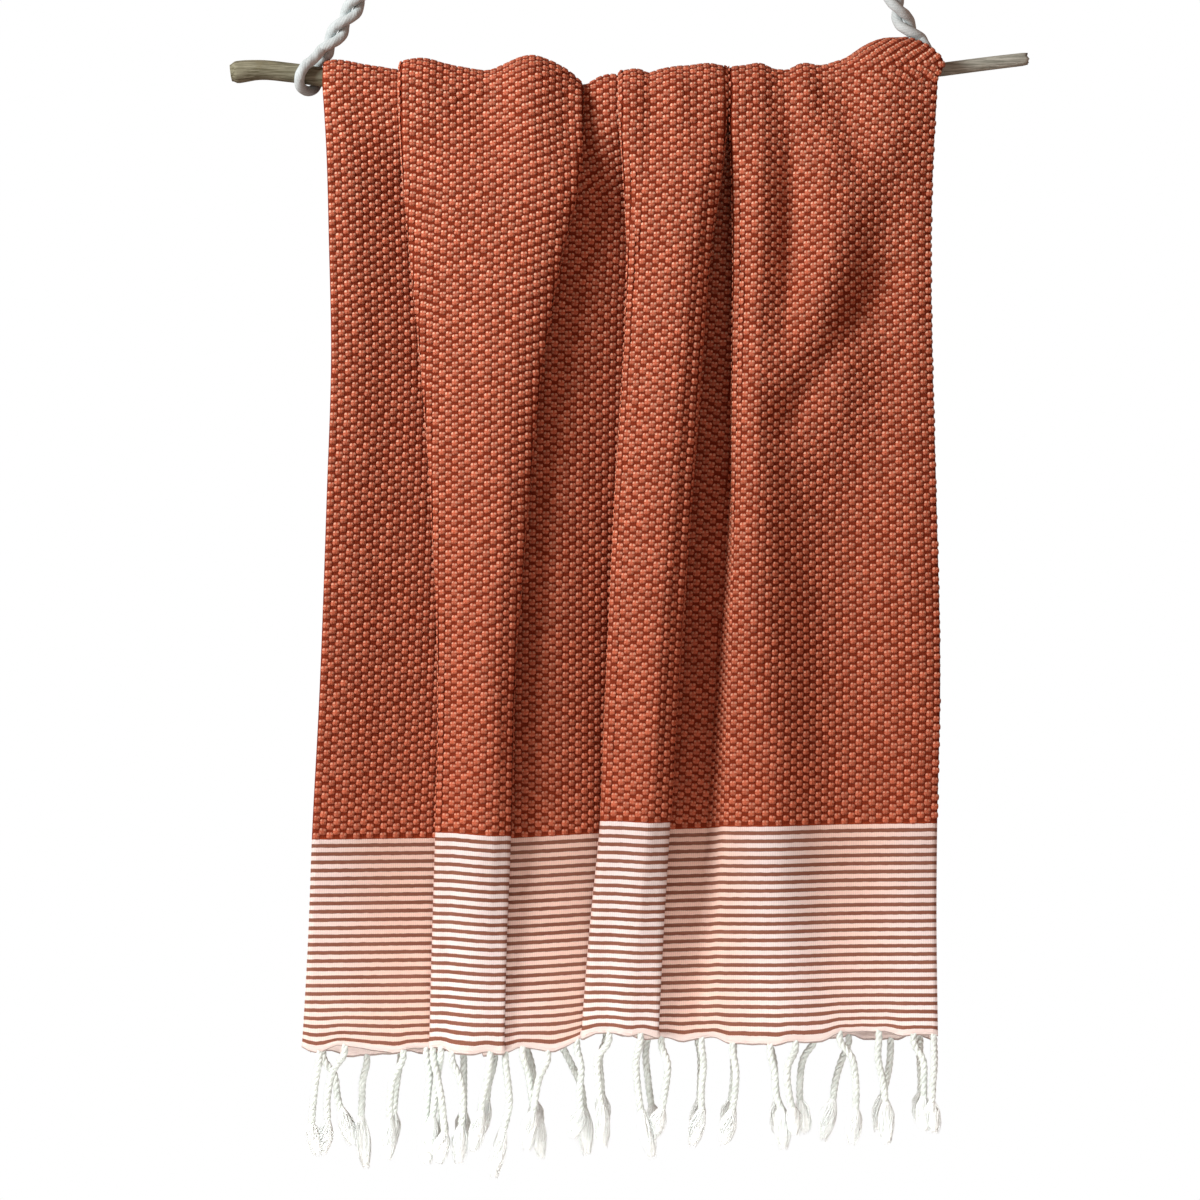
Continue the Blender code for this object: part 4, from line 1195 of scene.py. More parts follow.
def towel_cotton():
    """Matt cotton: a deep terracotta ground, white and brown stripes, an off-white hem."""
    made, tree, shader = start_material("striped cotton")
    weave = add(tree, "ShaderNodeUVMap", {"uv_map": "weave"})
    hem = add(tree, "ShaderNodeAttribute", {"attribute_name": "from_hem"}).outputs["Fac"]
    uneven = add(tree, "ShaderNodeTexNoise", Vector=weave, Scale=150.0, Detail=2.0, Roughness=0.5)
    fluff = add(tree, "ShaderNodeTexNoise", Vector=weave, Scale=900.0, Detail=2.0, Roughness=0.6)
    slub = add(tree, "ShaderNodeTexNoise", Vector=weave, Scale=22.0, Detail=3.0, Roughness=0.6)
    # The ground is drawn a deeper terracotta than the pads, partly as painted shade for the slots
    # under them.
    ground = add(
        tree,
        "ShaderNodeMix",
        {"data_type": "RGBA"},
        Factor=fluff,
        A=colour("#631B09"),
        B=colour("#8C371B"),
    )

    # A wobble of up to half a millimetre keeps the stripes' edges from looking ruled.
    loose = add(tree, "ShaderNodeMath", {"operation": "SUBTRACT"}, _0=uneven, _1=0.5)
    wobble = add(
        tree, "ShaderNodeMath", {"operation": "MULTIPLY_ADD"}, _0=loose, _1=1.0 * MM, _2=hem
    )
    white, rib = border_pattern(tree, weave, wobble)
    border = border_colour(tree, white, rib, slub)
    in_border = add(
        tree, "ShaderNodeMath", {"operation": "LESS_THAN"}, _0=wobble, _1=BORDER_HIGH * MM
    )
    plain = add(
        tree,
        "ShaderNodeMath",
        {"operation": "LESS_THAN"},
        _0=wobble,
        _1=(BORDER_HIGH + PLAIN_BAND) * MM,
    )
    cloth = add(
        tree, "ShaderNodeMix", {"data_type": "RGBA"}, Factor=plain, A=ground, B=colour("#8F3A1E")
    )
    cloth = add(tree, "ShaderNodeMix", {"data_type": "RGBA"}, Factor=in_border, A=cloth, B=border)
    rolled = add(
        tree,
        "ShaderNodeMapRange",
        Value=hem,
        From_Min=(HEM_ROLL + 0.6) * MM,
        From_Max=HEM_ROLL * MM,
    )
    hem_yarn = add(
        tree,
        "ShaderNodeMix",
        {"data_type": "RGBA"},
        Factor=slub,
        A=colour("#D6C2BA"),
        B=colour("#F0E5E0"),
    )
    cloth = add(tree, "ShaderNodeMix", {"data_type": "RGBA"}, Factor=rolled, A=cloth, B=hem_yarn)
    # Painted shade: a grey band along the lowest edge, for the roll's shaded underside.
    painted_hem_shade = add(tree, "ShaderNodeMath", {"operation": "LESS_THAN"}, _0=wobble, _1=HEM_SHADE_BAND * MM)
    cloth = add(
        tree, "ShaderNodeMix", {"data_type": "RGBA"}, Factor=painted_hem_shade, A=cloth, B=colour("#A3948C")
    )
    tree.links.new(cloth.outputs[2], shader.inputs["Base Color"])
    shader.inputs["Roughness"].default_value = 0.92
    shader.inputs["Specular IOR Level"].default_value = 0.15

    # Relief: the white stripes stand half a millimetre proud, and fine ribs cross the whole cloth.
    height = add(tree, "ShaderNodeMath", {"operation": "MULTIPLY_ADD"}, _0=rib, _1=0.35, _2=fluff)
    height = add(
        tree, "ShaderNodeMath", {"operation": "MULTIPLY_ADD"}, _0=white, _1=in_border, _2=height
    )
    bump = add(tree, "ShaderNodeBump", Height=height, Strength=0.7, Distance=0.0006)
    tree.links.new(bump.outputs[0], shader.inputs["Normal"])
    return made


towel_look = towel_cotton()
print(towel_look.name, "has", len(towel_look.node_tree.nodes), "nodes")

# %% [markdown]
# The grid becomes one sheet, which carries the weave's own coordinates and each point's distance
# to the hem. The cloth will be 1.8 mm thick, and thicker where its ends are rolled.

# %% The towel
CLOTH_THICK = 1.8
HEM_THICK = 4.4
HEM_ROUND = (
    # height above the edge, thickness
    (0.0, 1.6),
    (1.2, 3.3),
    (2.6, 4.2),
    (3.8, 4.4),
    (5.2, 4.1),
    (6.6, 3.1),
    (8.2, 1.9),
    (9.6, CLOTH_THICK),
    (2000.0, CLOTH_THICK),
)


def make_towel():
    """The sheet without its wall, with the weave's own coordinates and the distance to the hem."""
    tall, wide = grid.shape[:2]
    points = [place(*p) for p in grid.reshape(-1, 3)]
    faces = [
        (i * wide + j, i * wide + j + 1, (i + 1) * wide + j + 1, (i + 1) * wide + j)
        for i in range(tall - 1)
        for j in range(wide - 1)
    ]
    made = add_piece("striped_towel", points, faces, towel_look, recalculate=False)
    mesh = made.data
    weave = mesh.uv_layers.new(name="weave")
    loops = np.empty(len(mesh.loops), int)
    mesh.loops.foreach_get("vertex_index", loops)
    placed = np.stack([weft.ravel()[loops], warp.ravel()[loops]], 1) * MM
    weave.uv.foreach_set("vector", placed.ravel())
    height = mesh.attributes.new("from_hem", "FLOAT", "POINT")
    height.data.foreach_set("value", from_hem.ravel() * MM)
    return made


towel = make_towel()
print("towel:", len(towel.data.polygons), "faces before its wall")

# %% [markdown]
# ## The honeycomb
#
# The weave floats its yarns over small cells, so the outer face of the cloth is a field of soft
# pads. They stand in columns 6.7 mm apart, 8.7 mm apart in a column, and every other column is
# shifted by half a step. Geometry Nodes lay them out in the weave's own flat coordinates and look
# up where each of them is on the hanging cloth, so they follow it round every fold.

# %% Cotton of the pads


def pad_cotton():
    """Terracotta cotton yarn with painted light: pale highlights on the pads' upper lobes,
    strongest near the top of the towel, and painted shade towards a pad's foot and ends.
    """
    made, tree, shader = start_material("honeycomb cotton")
    at = add(tree, "ShaderNodeAttribute", {"attribute_name": "pad_place"}).outputs["Vector"]
    tone = add(tree, "ShaderNodeAttribute", {"attribute_name": "pad_tone"}).outputs["Fac"]
    parts = add(tree, "ShaderNodeSeparateXYZ", Vector=at)
    surface = add(tree, "ShaderNodeTexCoord").outputs["Object"]
    fluff = add(tree, "ShaderNodeTexNoise", Vector=surface, Scale=1100.0, Detail=2.0, Roughness=0.6)

    # Two yarns side by side, crossed by two: a crease runs down the middle of the pad and across.
    beside = add(tree, "ShaderNodeMath", {"operation": "ABSOLUTE"}, _0=parts.outputs["X"])
    above = add(tree, "ShaderNodeMath", {"operation": "ABSOLUTE"}, _0=parts.outputs["Y"])
    nearest = add(tree, "ShaderNodeMath", {"operation": "MINIMUM"}, _0=beside, _1=above)
    # The floats dive under at a pad's two ends, which are painted darker, partly for that and
    # partly as painted shade. Its sides meet the next columns, and its upper half gets a painted
    # highlight.
    lobe, foot, inside, upper = (
        add(
            tree,
            "ShaderNodeMapRange",
            {"interpolation_type": "SMOOTHSTEP"},
            Value=value,
            From_Min=low,
            From_Max=high,
            To_Min=least,
        )
        for value, low, high, least in (
            (nearest, 0.0, 0.35, 0.0),
            (parts.outputs["Z"], 0.05, 0.6, 0.0),
            (above, 1.0, 0.62, 0.0),
            (parts.outputs["Y"], -0.55, 0.15, 0.62),
        )
    )
    # Painted shade: the body darkens towards a pad's foot, where it sinks into the cloth.
    body = add(
        tree,
        "ShaderNodeMix",
        {"data_type": "RGBA"},
        Factor=foot,
        A=colour("#A24528"),
        B=colour("#BC5B3A"),
    )
    yarn = add(
        tree, "ShaderNodeMix", {"data_type": "RGBA"}, Factor=inside, A=colour("#7E2C14"), B=body
    )
    painted_highlight = lobe
    for factor in (foot, upper, fluff):
        painted_highlight = add(tree, "ShaderNodeMath", {"operation": "MULTIPLY"}, _0=painted_highlight, _1=factor)
    # Painted highlight: the pads' pale tops are strongest near the top of the towel and weaker
    # lower down.
    upward = add(tree, "ShaderNodeSeparateXYZ", Vector=surface).outputs["Z"]
    painted_top_light = add(
        tree, "ShaderNodeMapRange", Value=upward, From_Min=-0.85, From_Max=-0.15, To_Min=0.45
    )
    lit = add(
        tree, "ShaderNodeMapRange", Value=painted_highlight, From_Min=0.28, From_Max=0.50, To_Max=painted_top_light
    )
    # The painted highlights mix in a pale peach.
    yarn = add(
        tree, "ShaderNodeMix", {"data_type": "RGBA"}, Factor=lit, A=yarn, B=colour("#EAB99D")
    )
    dyed = add(tree, "ShaderNodeMapRange", Value=tone, To_Min=0.84, To_Max=1.12)
    yarn = add(
        tree,
        "ShaderNodeMix",
        {"data_type": "RGBA", "blend_type": "MULTIPLY"},
        Factor=1.0,
        A=yarn,
        B=dyed,
    )
    tree.links.new(yarn.outputs[2], shader.inputs["Base Color"])
    shader.inputs["Roughness"].default_value = 0.62  # combed yarn has a faint lustre in the light
    shader.inputs["Specular IOR Level"].default_value = 0.4
    height = add(tree, "ShaderNodeMath", {"operation": "MULTIPLY_ADD"}, _0=lobe, _1=0.7, _2=fluff)
    bump = add(tree, "ShaderNodeBump", Height=height, Strength=0.9, Distance=0.0006)
    tree.links.new(bump.outputs[0], shader.inputs["Normal"])
    return made


pad_look = pad_cotton()
print(pad_look.name, "has", len(pad_look.node_tree.nodes), "nodes")

# %% [markdown]
# A tree of geometry nodes is made like a material's: a new tree, its nodes and its links. It gets
# named sizes, is run on an object, and what it makes is kept as a plain mesh.

# %% Make and run a tree of geometry nodes


def new_tree(name, sizes):
    """A geometry tree with named sizes, and its input and output nodes."""
    tree = bpy.data.node_groups.new(name, "GeometryNodeTree")
    face = tree.interface
    face.new_socket("Geometry", in_out="INPUT", socket_type="NodeSocketGeometry")
    face.new_socket("Geometry", in_out="OUTPUT", socket_type="NodeSocketGeometry")
    for label, value in sizes.items():
        kind = "NodeSocketInt" if isinstance(value, int) else "NodeSocketFloat"
        face.new_socket(label, in_out="INPUT", socket_type=kind).default_value = value
    return tree, tree.nodes.new("NodeGroupInput"), tree.nodes.new("NodeGroupOutput")


def run_tree(source, name, tree, sizes):
    """Runs a tree on an object and keeps what it makes as a plain mesh."""
    made_by = source.modifiers.new("made by", "NODES")
    made_by.node_group = tree
    for item in tree.interface.items_tree:
        if item.in_out == "INPUT" and item.name in sizes:
            made_by[item.identifier] = sizes[item.name]
    bpy.context.view_layer.update()
    shaped = source.evaluated_get(bpy.context.evaluated_depsgraph_get())
    mesh = bpy.data.meshes.new_from_object(shaped)
    source.modifiers.remove(made_by)
    mesh.shade_smooth()
    made = bpy.data.objects.new(name, mesh)
    bpy.context.scene.collection.objects.link(made)
    return made


# %% [markdown]
# The tree for the pads is made in four steps: where each pad lies in the weave, where that is on
# the hanging cloth, the shape of one pad, and a copy of it at each place.

# %% Sizes of the pads
PAD_COLUMN = 6.7
FIRST_COLUMN = 0.6  # of a column's width lies between the selvedge and the first column's middle
PAD_STEP = 8.7
FIRST_PAD = 7.4  # shifts the rows so that the lowest ones end on the border
ABOVE_BORDER = 1.4  # no pad's middle is nearer to the border than this
PAD_SIZES = {
    "Columns": int(woven_width / PAD_COLUMN),
    "First row": 0,
    "Rows": 60,
    "Column": PAD_COLUMN * MM,
    "Step": PAD_STEP * MM,
    "Width": 7.4 * MM,
    "Length": 7.1 * MM,
    "Height": 1.3 * MM,
    "Foot": 0.6 * MM,
    "Border": (BORDER_HIGH + ABOVE_BORDER) * MM,
    "First": FIRST_PAD * MM,
}
PAD_JITTER = (0.0004, 0.0007)  # metres across and along the warp
PAD_LEAN = 0.00014  # metres that a pad's upward direction leans over, in each PAD_AHEAD
PAD_AHEAD = 0.001
print("a row has", PAD_SIZES["Columns"], "pads")

# %% Where the pads lie in the weave


def flat_places(tree, size):
    """Each pad's place in the weave's flat coordinates, and a place just ahead of it."""
    index = add(tree, "GeometryNodeInputIndex")
    column = add(tree, "ShaderNodeMath", {"operation": "MODULO"}, _0=index, _1=size["Columns"])
    row = add(tree, "ShaderNodeMath", {"operation": "DIVIDE"}, _0=index, _1=size["Columns"])
    row = add(tree, "ShaderNodeMath", {"operation": "FLOOR"}, _0=row)
    row = add(tree, "ShaderNodeMath", {"operation": "ADD"}, _0=row, _1=size["First row"])
    odd = add(tree, "ShaderNodeMath", {"operation": "MODULO"}, _0=column, _1=2.0)
    row = add(tree, "ShaderNodeMath", {"operation": "MULTIPLY_ADD"}, _0=odd, _1=0.5, _2=row)
    middle = add(tree, "ShaderNodeMath", {"operation": "ADD"}, _0=column, _1=FIRST_COLUMN)
    flat_x = add(tree, "ShaderNodeMath", {"operation": "MULTIPLY"}, _0=middle, _1=size["Column"])
    flat_y = add(
        tree,
        "ShaderNodeMath",
        {"operation": "MULTIPLY_ADD"},
        _0=row,
        _1=size["Step"],
        _2=size["First"],
    )
    at = add(tree, "ShaderNodeCombineXYZ", X=flat_x, Y=flat_y)
    places = []
    for least, most, seed in (
        ((-PAD_JITTER[0], -PAD_JITTER[1], 0.0), (*PAD_JITTER, 0.0), 3),
        ((-PAD_LEAN, PAD_AHEAD, 0.0), (PAD_LEAN, PAD_AHEAD, 0.0), 13),
    ):
        moved = add(
            tree,
            "FunctionNodeRandomValue",
            {"data_type": "FLOAT_VECTOR"},
            _0=least,
            _1=most,
            Seed=seed,
        )
        at = add(tree, "ShaderNodeVectorMath", {"operation": "ADD"}, _0=at, _1=moved)
        places.append(at)
    return places


# %% Where that is on the hanging cloth


def on_the_cloth(tree, size, flat, ahead):
    """The points of the pads on the cloth, their turns, and which of them get a pad."""
    weave = add(
        tree, "GeometryNodeInputNamedAttribute", {"data_type": "FLOAT_VECTOR"}, Name="weave"
    )
    hem = add(tree, "GeometryNodeInputNamedAttribute", {"data_type": "FLOAT"}, Name="from_hem")
    here = add(tree, "GeometryNodeInputPosition")
    place_at, next_at, normal, height = (
        add(
            tree,
            "GeometryNodeSampleUVSurface",
            {"data_type": kind},
            Mesh=size["Geometry"],
            Value=value,
            UV_Map=weave,
            Sample_UV=at,
        )
        for value, at, kind in (
            (here, flat, "FLOAT_VECTOR"),
            (here, ahead, "FLOAT_VECTOR"),
            (add(tree, "GeometryNodeInputNormal"), flat, "FLOAT_VECTOR"),
            (hem, flat, "FLOAT"),
        )
    )
    count = add(
        tree, "ShaderNodeMath", {"operation": "MULTIPLY"}, _0=size["Columns"], _1=size["Rows"]
    )
    points = add(tree, "GeometryNodePoints", Count=count)
    placed = add(tree, "GeometryNodeSetPosition", Geometry=points, Position=place_at)
    upward = add(
        tree, "ShaderNodeVectorMath", {"operation": "SUBTRACT"}, _0=next_at, _1=place_at
    )
    turned = add(
        tree,
        "FunctionNodeAxesToRotation",
        {"primary_axis": "Z", "secondary_axis": "Y"},
        Primary_Axis=normal,
        Secondary_Axis=upward,
    )
    inside = add(
        tree,
        "FunctionNodeCompare",
        {"data_type": "FLOAT", "operation": "GREATER_THAN"},
        _0=height,
        _1=size["Border"],
    )
    chosen = add(
        tree,
        "FunctionNodeBooleanMath",
        {"operation": "AND"},
        _0=inside,
        _1=next_at.outputs["Is Valid"],
    )
    return placed, turned, chosen


# %% One pad
RIM_REACH = 2.1  # how much further out the inner points of the grid of 4 by 4 are moved
CORNER_PULL = {"To_Min": 0.74, "To_Max": 0.84}  # corners are pulled in, the lower ones more


def one_pad(tree, size):
    """A grid of 4 by 4 points with its four inner ones raised and its rim sunk into the cloth."""
    square = add(
        tree, "GeometryNodeMeshGrid", Size_X=2.0, Size_Y=2.0, Vertices_X=4, Vertices_Y=4
    )
    corner = add(tree, "ShaderNodeSeparateXYZ", Vector=add(tree, "GeometryNodeInputPosition"))
    x, y = corner.outputs["X"], corner.outputs["Y"]
    far_x, far_y = (
        add(tree, "ShaderNodeMath", {"operation": "ABSOLUTE"}, _0=value) for value in (x, y)
    )
    far = add(tree, "ShaderNodeMath", {"operation": "MAXIMUM"}, _0=far_x, _1=far_y)
    high = add(tree, "ShaderNodeMath", {"operation": "LESS_THAN"}, _0=far, _1=0.9)
    spread = add(tree, "ShaderNodeMapRange", Value=high, To_Min=1.0, To_Max=RIM_REACH)
    both_far = add(tree, "ShaderNodeMath", {"operation": "MULTIPLY"}, _0=far_x, _1=far_y)
    in_corner = add(tree, "ShaderNodeMath", {"operation": "GREATER_THAN"}, _0=both_far, _1=0.9)
    corner_reach = add(tree, "ShaderNodeMapRange", Value=y, From_Min=-1.0, **CORNER_PULL)
    pulled = add(tree, "ShaderNodeMapRange", Value=in_corner, To_Min=1.0, To_Max=corner_reach)
    reach = add(tree, "ShaderNodeMath", {"operation": "MULTIPLY"}, _0=spread, _1=pulled)
    local_x, local_y = (
        add(tree, "ShaderNodeMath", {"operation": "MULTIPLY"}, _0=value, _1=reach)
        for value in (x, y)
    )
    local = add(tree, "ShaderNodeCombineXYZ", X=local_x, Y=local_y, Z=high)
    known = add(
        tree,
        "GeometryNodeStoreNamedAttribute",
        {"data_type": "FLOAT_VECTOR", "domain": "POINT"},
        Geometry=square,
        Name="pad_place",
        Value=local,
    )
    half_wide, half_long = (
        add(tree, "ShaderNodeMath", {"operation": "MULTIPLY"}, _0=size[label], _1=0.5)
        for label in ("Width", "Length")
    )
    true_size = add(
        tree, "ShaderNodeCombineXYZ", X=half_wide, Y=half_long, Z=size["Height"]
    )
    shaped = add(tree, "ShaderNodeVectorMath", {"operation": "MULTIPLY"}, _0=local, _1=true_size)
    lifted = add(tree, "ShaderNodeCombineXYZ", Z=size["Foot"])
    shaped = add(tree, "ShaderNodeVectorMath", {"operation": "ADD"}, _0=shaped, _1=lifted)
    return add(tree, "GeometryNodeSetPosition", Geometry=known, Position=shaped)


# %% The pads' tree
PAD_SWELL = (0.90, 1.07)


def pads_tree():
    """Pads in staggered columns, placed on the cloth by its flat coordinates."""
    tree, given, result = new_tree("honeycomb pads", PAD_SIZES)
    size = given.outputs
    placed, turned, chosen = on_the_cloth(tree, size, *flat_places(tree, size))
    swell = add(
        tree,
        "FunctionNodeRandomValue",
        {"data_type": "FLOAT"},
        _2=PAD_SWELL[0],
        _3=PAD_SWELL[1],
        Seed=5,
    )
    instances = add(
        tree,
        "GeometryNodeInstanceOnPoints",
        Points=placed,
        Selection=chosen,
        Instance=one_pad(tree, size),
        Rotation=turned,
        Scale=swell,
    )
    toned = add(
        tree,
        "GeometryNodeStoreNamedAttribute",
        {"data_type": "FLOAT", "domain": "INSTANCE"},
        Geometry=instances,
        Name="pad_tone",
        Value=add(tree, "FunctionNodeRandomValue", {"data_type": "FLOAT"}, Seed=9),
    )
    single = add(tree, "GeometryNodeRealizeInstances", Geometry=toned)
    painted = add(tree, "GeometryNodeSetMaterial", Geometry=single, Material=pad_look)
    tree.links.new(painted.outputs[0], result.inputs["Geometry"])
    return tree


padding = pads_tree()
print(padding.name, "has", len(padding.nodes), "nodes")

# %% The pads
PAD_ROWS = {"front_pads": (24, 66), "crest_pads": (90, 46), "back_pads": (136, 72)}  # from, many
pads = [
    run_tree(towel, name, padding, {"First row": first, "Rows": rows})
    for name, (first, rows) in PAD_ROWS.items()
]
for piece in pads:
    print(piece.name, len(piece.data.polygons), "faces")

# %% [markdown]
# Now that the pads have been laid out on the thin sheet, it gets its thickness. A Solidify
# modifier reads it from a vertex group, thicker where the hem is rolled.

# %% The towel's wall


def add_wall(made):
    """Gives the sheet its thickness, which swells to the round of the hem."""
    swell = made.vertex_groups.new(name="hem")
    heights, thicks = np.array(HEM_ROUND).T
    for k, height in enumerate(from_hem.ravel()):
        swell.add([k], float(np.interp(height, heights, thicks)) / HEM_THICK, "REPLACE")
    wall = made.modifiers.new("wall", "SOLIDIFY")
    wall.thickness = HEM_THICK * MM
    wall.offset = 0.0
    wall.use_even_offset = False
    wall.vertex_group = swell.name
    wall.thickness_vertex_group = 0.0


add_wall(towel)
print("the towel's wall is", CLOTH_THICK, "mm thick and", HEM_THICK, "mm at the hem")

# %% [markdown]
# ## The fringe
#
# The warp threads run on below the hem and are twisted by hand into cords, three lays each. Below
# its knot each cord is left loose, and the yarn ends fluff out into a tuft. The rows give each
# cord's swing and its knot, read off the towel. Geometry Nodes wind the lays round the cords'
# lines and scatter the fibres of the tufts, with a fixed seed.

# %% Where the cords hang
# The fringe: a row for each strand. "along" of its root, of its twist 24 and 49 below the hem,
# of its knot and of its tuft's tip, then the drops of knot and tip, and how far it hangs forward.
FRONT_STRANDS = (
    (21, 18, 15, 13, 20, 1065, 1090, 0),
    (46, 35, 29, 29, 25, 1061, 1090, 0),
    (104, 95, 91, 91, 88, 1061, 1095, 0),
    (127, 130, 128, 126, 128, 1071, 1101, 0),
    (134, 138, 143, 146, 140, 1071, 1097, 9),
    (142, 139, 136, 133, 132, 1058, 1090, -9),
    (153, 161, 164, 162, 160, 1066, 1097, 0),
    (191, 189, 183, 182, 174, 1050, 1085, 0),
    (206, 208, 210, 204, 194, 1068, 1112, 0),
    (223, 228, 232, 234, 242, 1050, 1094, -6),
    (248, 240, 235, 233, 227, 1052, 1084, 8),
    (277, 281, 280, 281, 273, 1052, 1074, 0),
    (309, 298, 299, 301, 303, 1043, 1081, 0),
    (340, 336, 337, 341, 352, 1050, 1092, -4),
    (361, 367, 365, 361, 354, 1048, 1070, 8),
    (401, 403, 401, 401, 392, 1051, 1082, 0),
    (432, 435, 434, 431, 423, 1051, 1081, 0),
    (469, 473, 475, 480, 483, 1047, 1083, 0),
    (494, 486, 487, 491, 493, 1046, 1068, 10),
    (538, 550, 554, 554, 550, 1050, 1078, 0),
    (577, 576, 581, 584, 585, 1042, 1079, 0),
    (611, 620, 621, 621, 622, 1036, 1065, 0),
    (631, 631, 629, 628, 631, 1040, 1065, 10),
)
BACK_STRANDS = (
    (22, 33, 37, 41, 52, 1055, 1086, 0),
    (66, 62, 61, 60, 65, 1061, 1108, 0),
    (100, 97, 94, 93, 91, 1058, 1086, 0),
    (134, 137, 140, 141, 139, 1060, 1088, 0),
    (163, 163, 163, 163, 161, 1058, 1086, 0),
    (195, 193, 187, 186, 180, 1048, 1076, 0),
    (226, 231, 233, 234, 238, 1048, 1076, 0),
    (262, 270, 281, 284, 287, 1054, 1095, 0),
    (306, 300, 301, 302, 304, 1040, 1068, 0),
    (348, 346, 348, 352, 358, 1052, 1078, 0),
    (398, 401, 401, 400, 396, 1046, 1072, 0),
    (434, 434, 434, 431, 426, 1046, 1070, 0),
    (470, 474, 476, 478, 478, 1044, 1072, 0),
    (516, 505, 501, 501, 508, 1047, 1074, 0),
    (550, 543, 536, 534, 524, 1045, 1081, 0),
    (592, 591, 586, 583, 579, 1042, 1072, 0),
    (622, 622, 623, 622, 621, 1040, 1064, 0),
)

print(len(FRONT_STRANDS), "cords in front and", len(BACK_STRANDS), "behind")

# %% The stops of each cord
IN_HEM = 2.0  # a cord starts this far inside the hem
STRIP_HIGH = 5.0  # the knotted row under the hem
STRAIGHT = 1.0  # and how far a cord hangs straight down below it
SAG = (24.0, 49.0)  # below the hem, where the swing is read
IN_KNOT = 4.0  # a tuft starts this far above its knot's middle
TUFT_STOPS = (0.3, 0.7)  # the shares of a tuft's length at which its line has a stop
FIRST_SWING = 0.7  # the share of a cord's way forward that it has gone by the first of them


def hem_at(row, along, side):
    """The hem's outermost layer at a place along it, as (along, drop, out)."""
    found = None
    for a, b in zip(row, row[1:]):
        if a[0] != b[0] and min(a[0], b[0]) <= along <= max(a[0], b[0]):
            here = a + (b - a) * (along - a[0]) / (b[0] - a[0])
            if found is None or side * here[2] > side * found[2]:
                found = here
    return row[np.argmin(abs(row[:, 0] - along))] if found is None else found


def cord_stops(hem, row, side):
    """The stops of a cord's line from inside the hem down to its knot, and those of its tuft."""
    start, first, second, knot, tip, knot_drop, tip_drop, forward = row
    root, hem_low, out = hem_at(hem, start, side)
    sway = side * forward
    cord = (
        (root, hem_low - IN_HEM, out),
        (root, hem_low + STRIP_HIGH + STRAIGHT, out),
        (first + root - start, hem_low + SAG[0], out + sway * FIRST_SWING),
        (second, hem_low + SAG[1], out + sway),
        (knot, knot_drop, out + sway),
    )
    down = tip_drop - knot_drop
    tuft = (
        (knot, knot_drop - IN_KNOT, out + sway),
        *((knot + (tip - knot) * t, knot_drop + down * t, out + sway) for t in TUFT_STOPS),
        (tip, tip_drop, out + sway),
    )
    return cord, tuft


front_stops = [cord_stops(grid[0], row, 1) for row in FRONT_STRANDS]
back_stops = [cord_stops(grid[-1], row, -1) for row in BACK_STRANDS]
first_cord = front_stops[0][0]
print("the first cord goes from", rounded(first_cord[0]), "to", rounded(first_cord[-1]))

# %% [markdown]
# The yarn is the undyed cotton of the warp. A cord's lays are told apart by the shade between
# them, so the material only needs the yarn's own unevenness.

# %% Fringe yarn


def fringe_yarn(name, pale, dark):
    """Off-white cotton yarn, matt and a little hairy."""
    made, tree, shader = start_material(name)
    surface = add(tree, "ShaderNodeTexCoord").outputs["Object"]
    fibre_at = add(tree, "ShaderNodeMapping", Vector=surface, Scale=(1.0, 1.0, 0.35))
    fluff = add(tree, "ShaderNodeTexNoise", Vector=fibre_at, Scale=700.0, Detail=3.0, Roughness=0.6)
    soft = add(tree, "ShaderNodeTexNoise", Vector=surface, Scale=60.0, Detail=2.0, Roughness=0.5)
    tone = add(tree, "ShaderNodeMath", {"operation": "ADD"}, _0=fluff, _1=soft)
    shown = add(tree, "ShaderNodeMapRange", Value=tone, From_Min=0.75, From_Max=1.2)
    yarn = add(
        tree,
        "ShaderNodeMix",
        {"data_type": "RGBA"},
        Factor=shown,
        A=colour(dark),
        B=colour(pale),
    )
    tree.links.new(yarn.outputs[2], shader.inputs["Base Color"])
    shader.inputs["Roughness"].default_value = 0.95
    shader.inputs["Specular IOR Level"].default_value = 0.1
    bump = add(tree, "ShaderNodeBump", Height=fluff, Strength=0.5, Distance=0.0004)
    tree.links.new(bump.outputs[0], shader.inputs["Normal"])
    return made


cord_yarn = fringe_yarn("twisted off-white cotton", "#E3ECE7", "#CAD3CE")
tuft_yarn = fringe_yarn("loose cotton fibres", "#F8FEFC", "#F0F6F4")
print(cord_yarn.name, "and", tuft_yarn.name)

# %% [markdown]
# Three thin tubes wind round each cord's line. The tree copies the line once for each lay, turns
# the copies' points round it as they go down, and gives every copy a round section.

# %% The tree that winds the cords
CORD_STEP = 1.6  # millimetres between the points of a lay
CORD_SIZES = {
    "Lays": 3,
    "Lay radius": 2.0 * MM,
    "Spread": 1.75 * MM,  # from the cord's middle to the lay's
    "Pitch": 19.0 * MM,
}


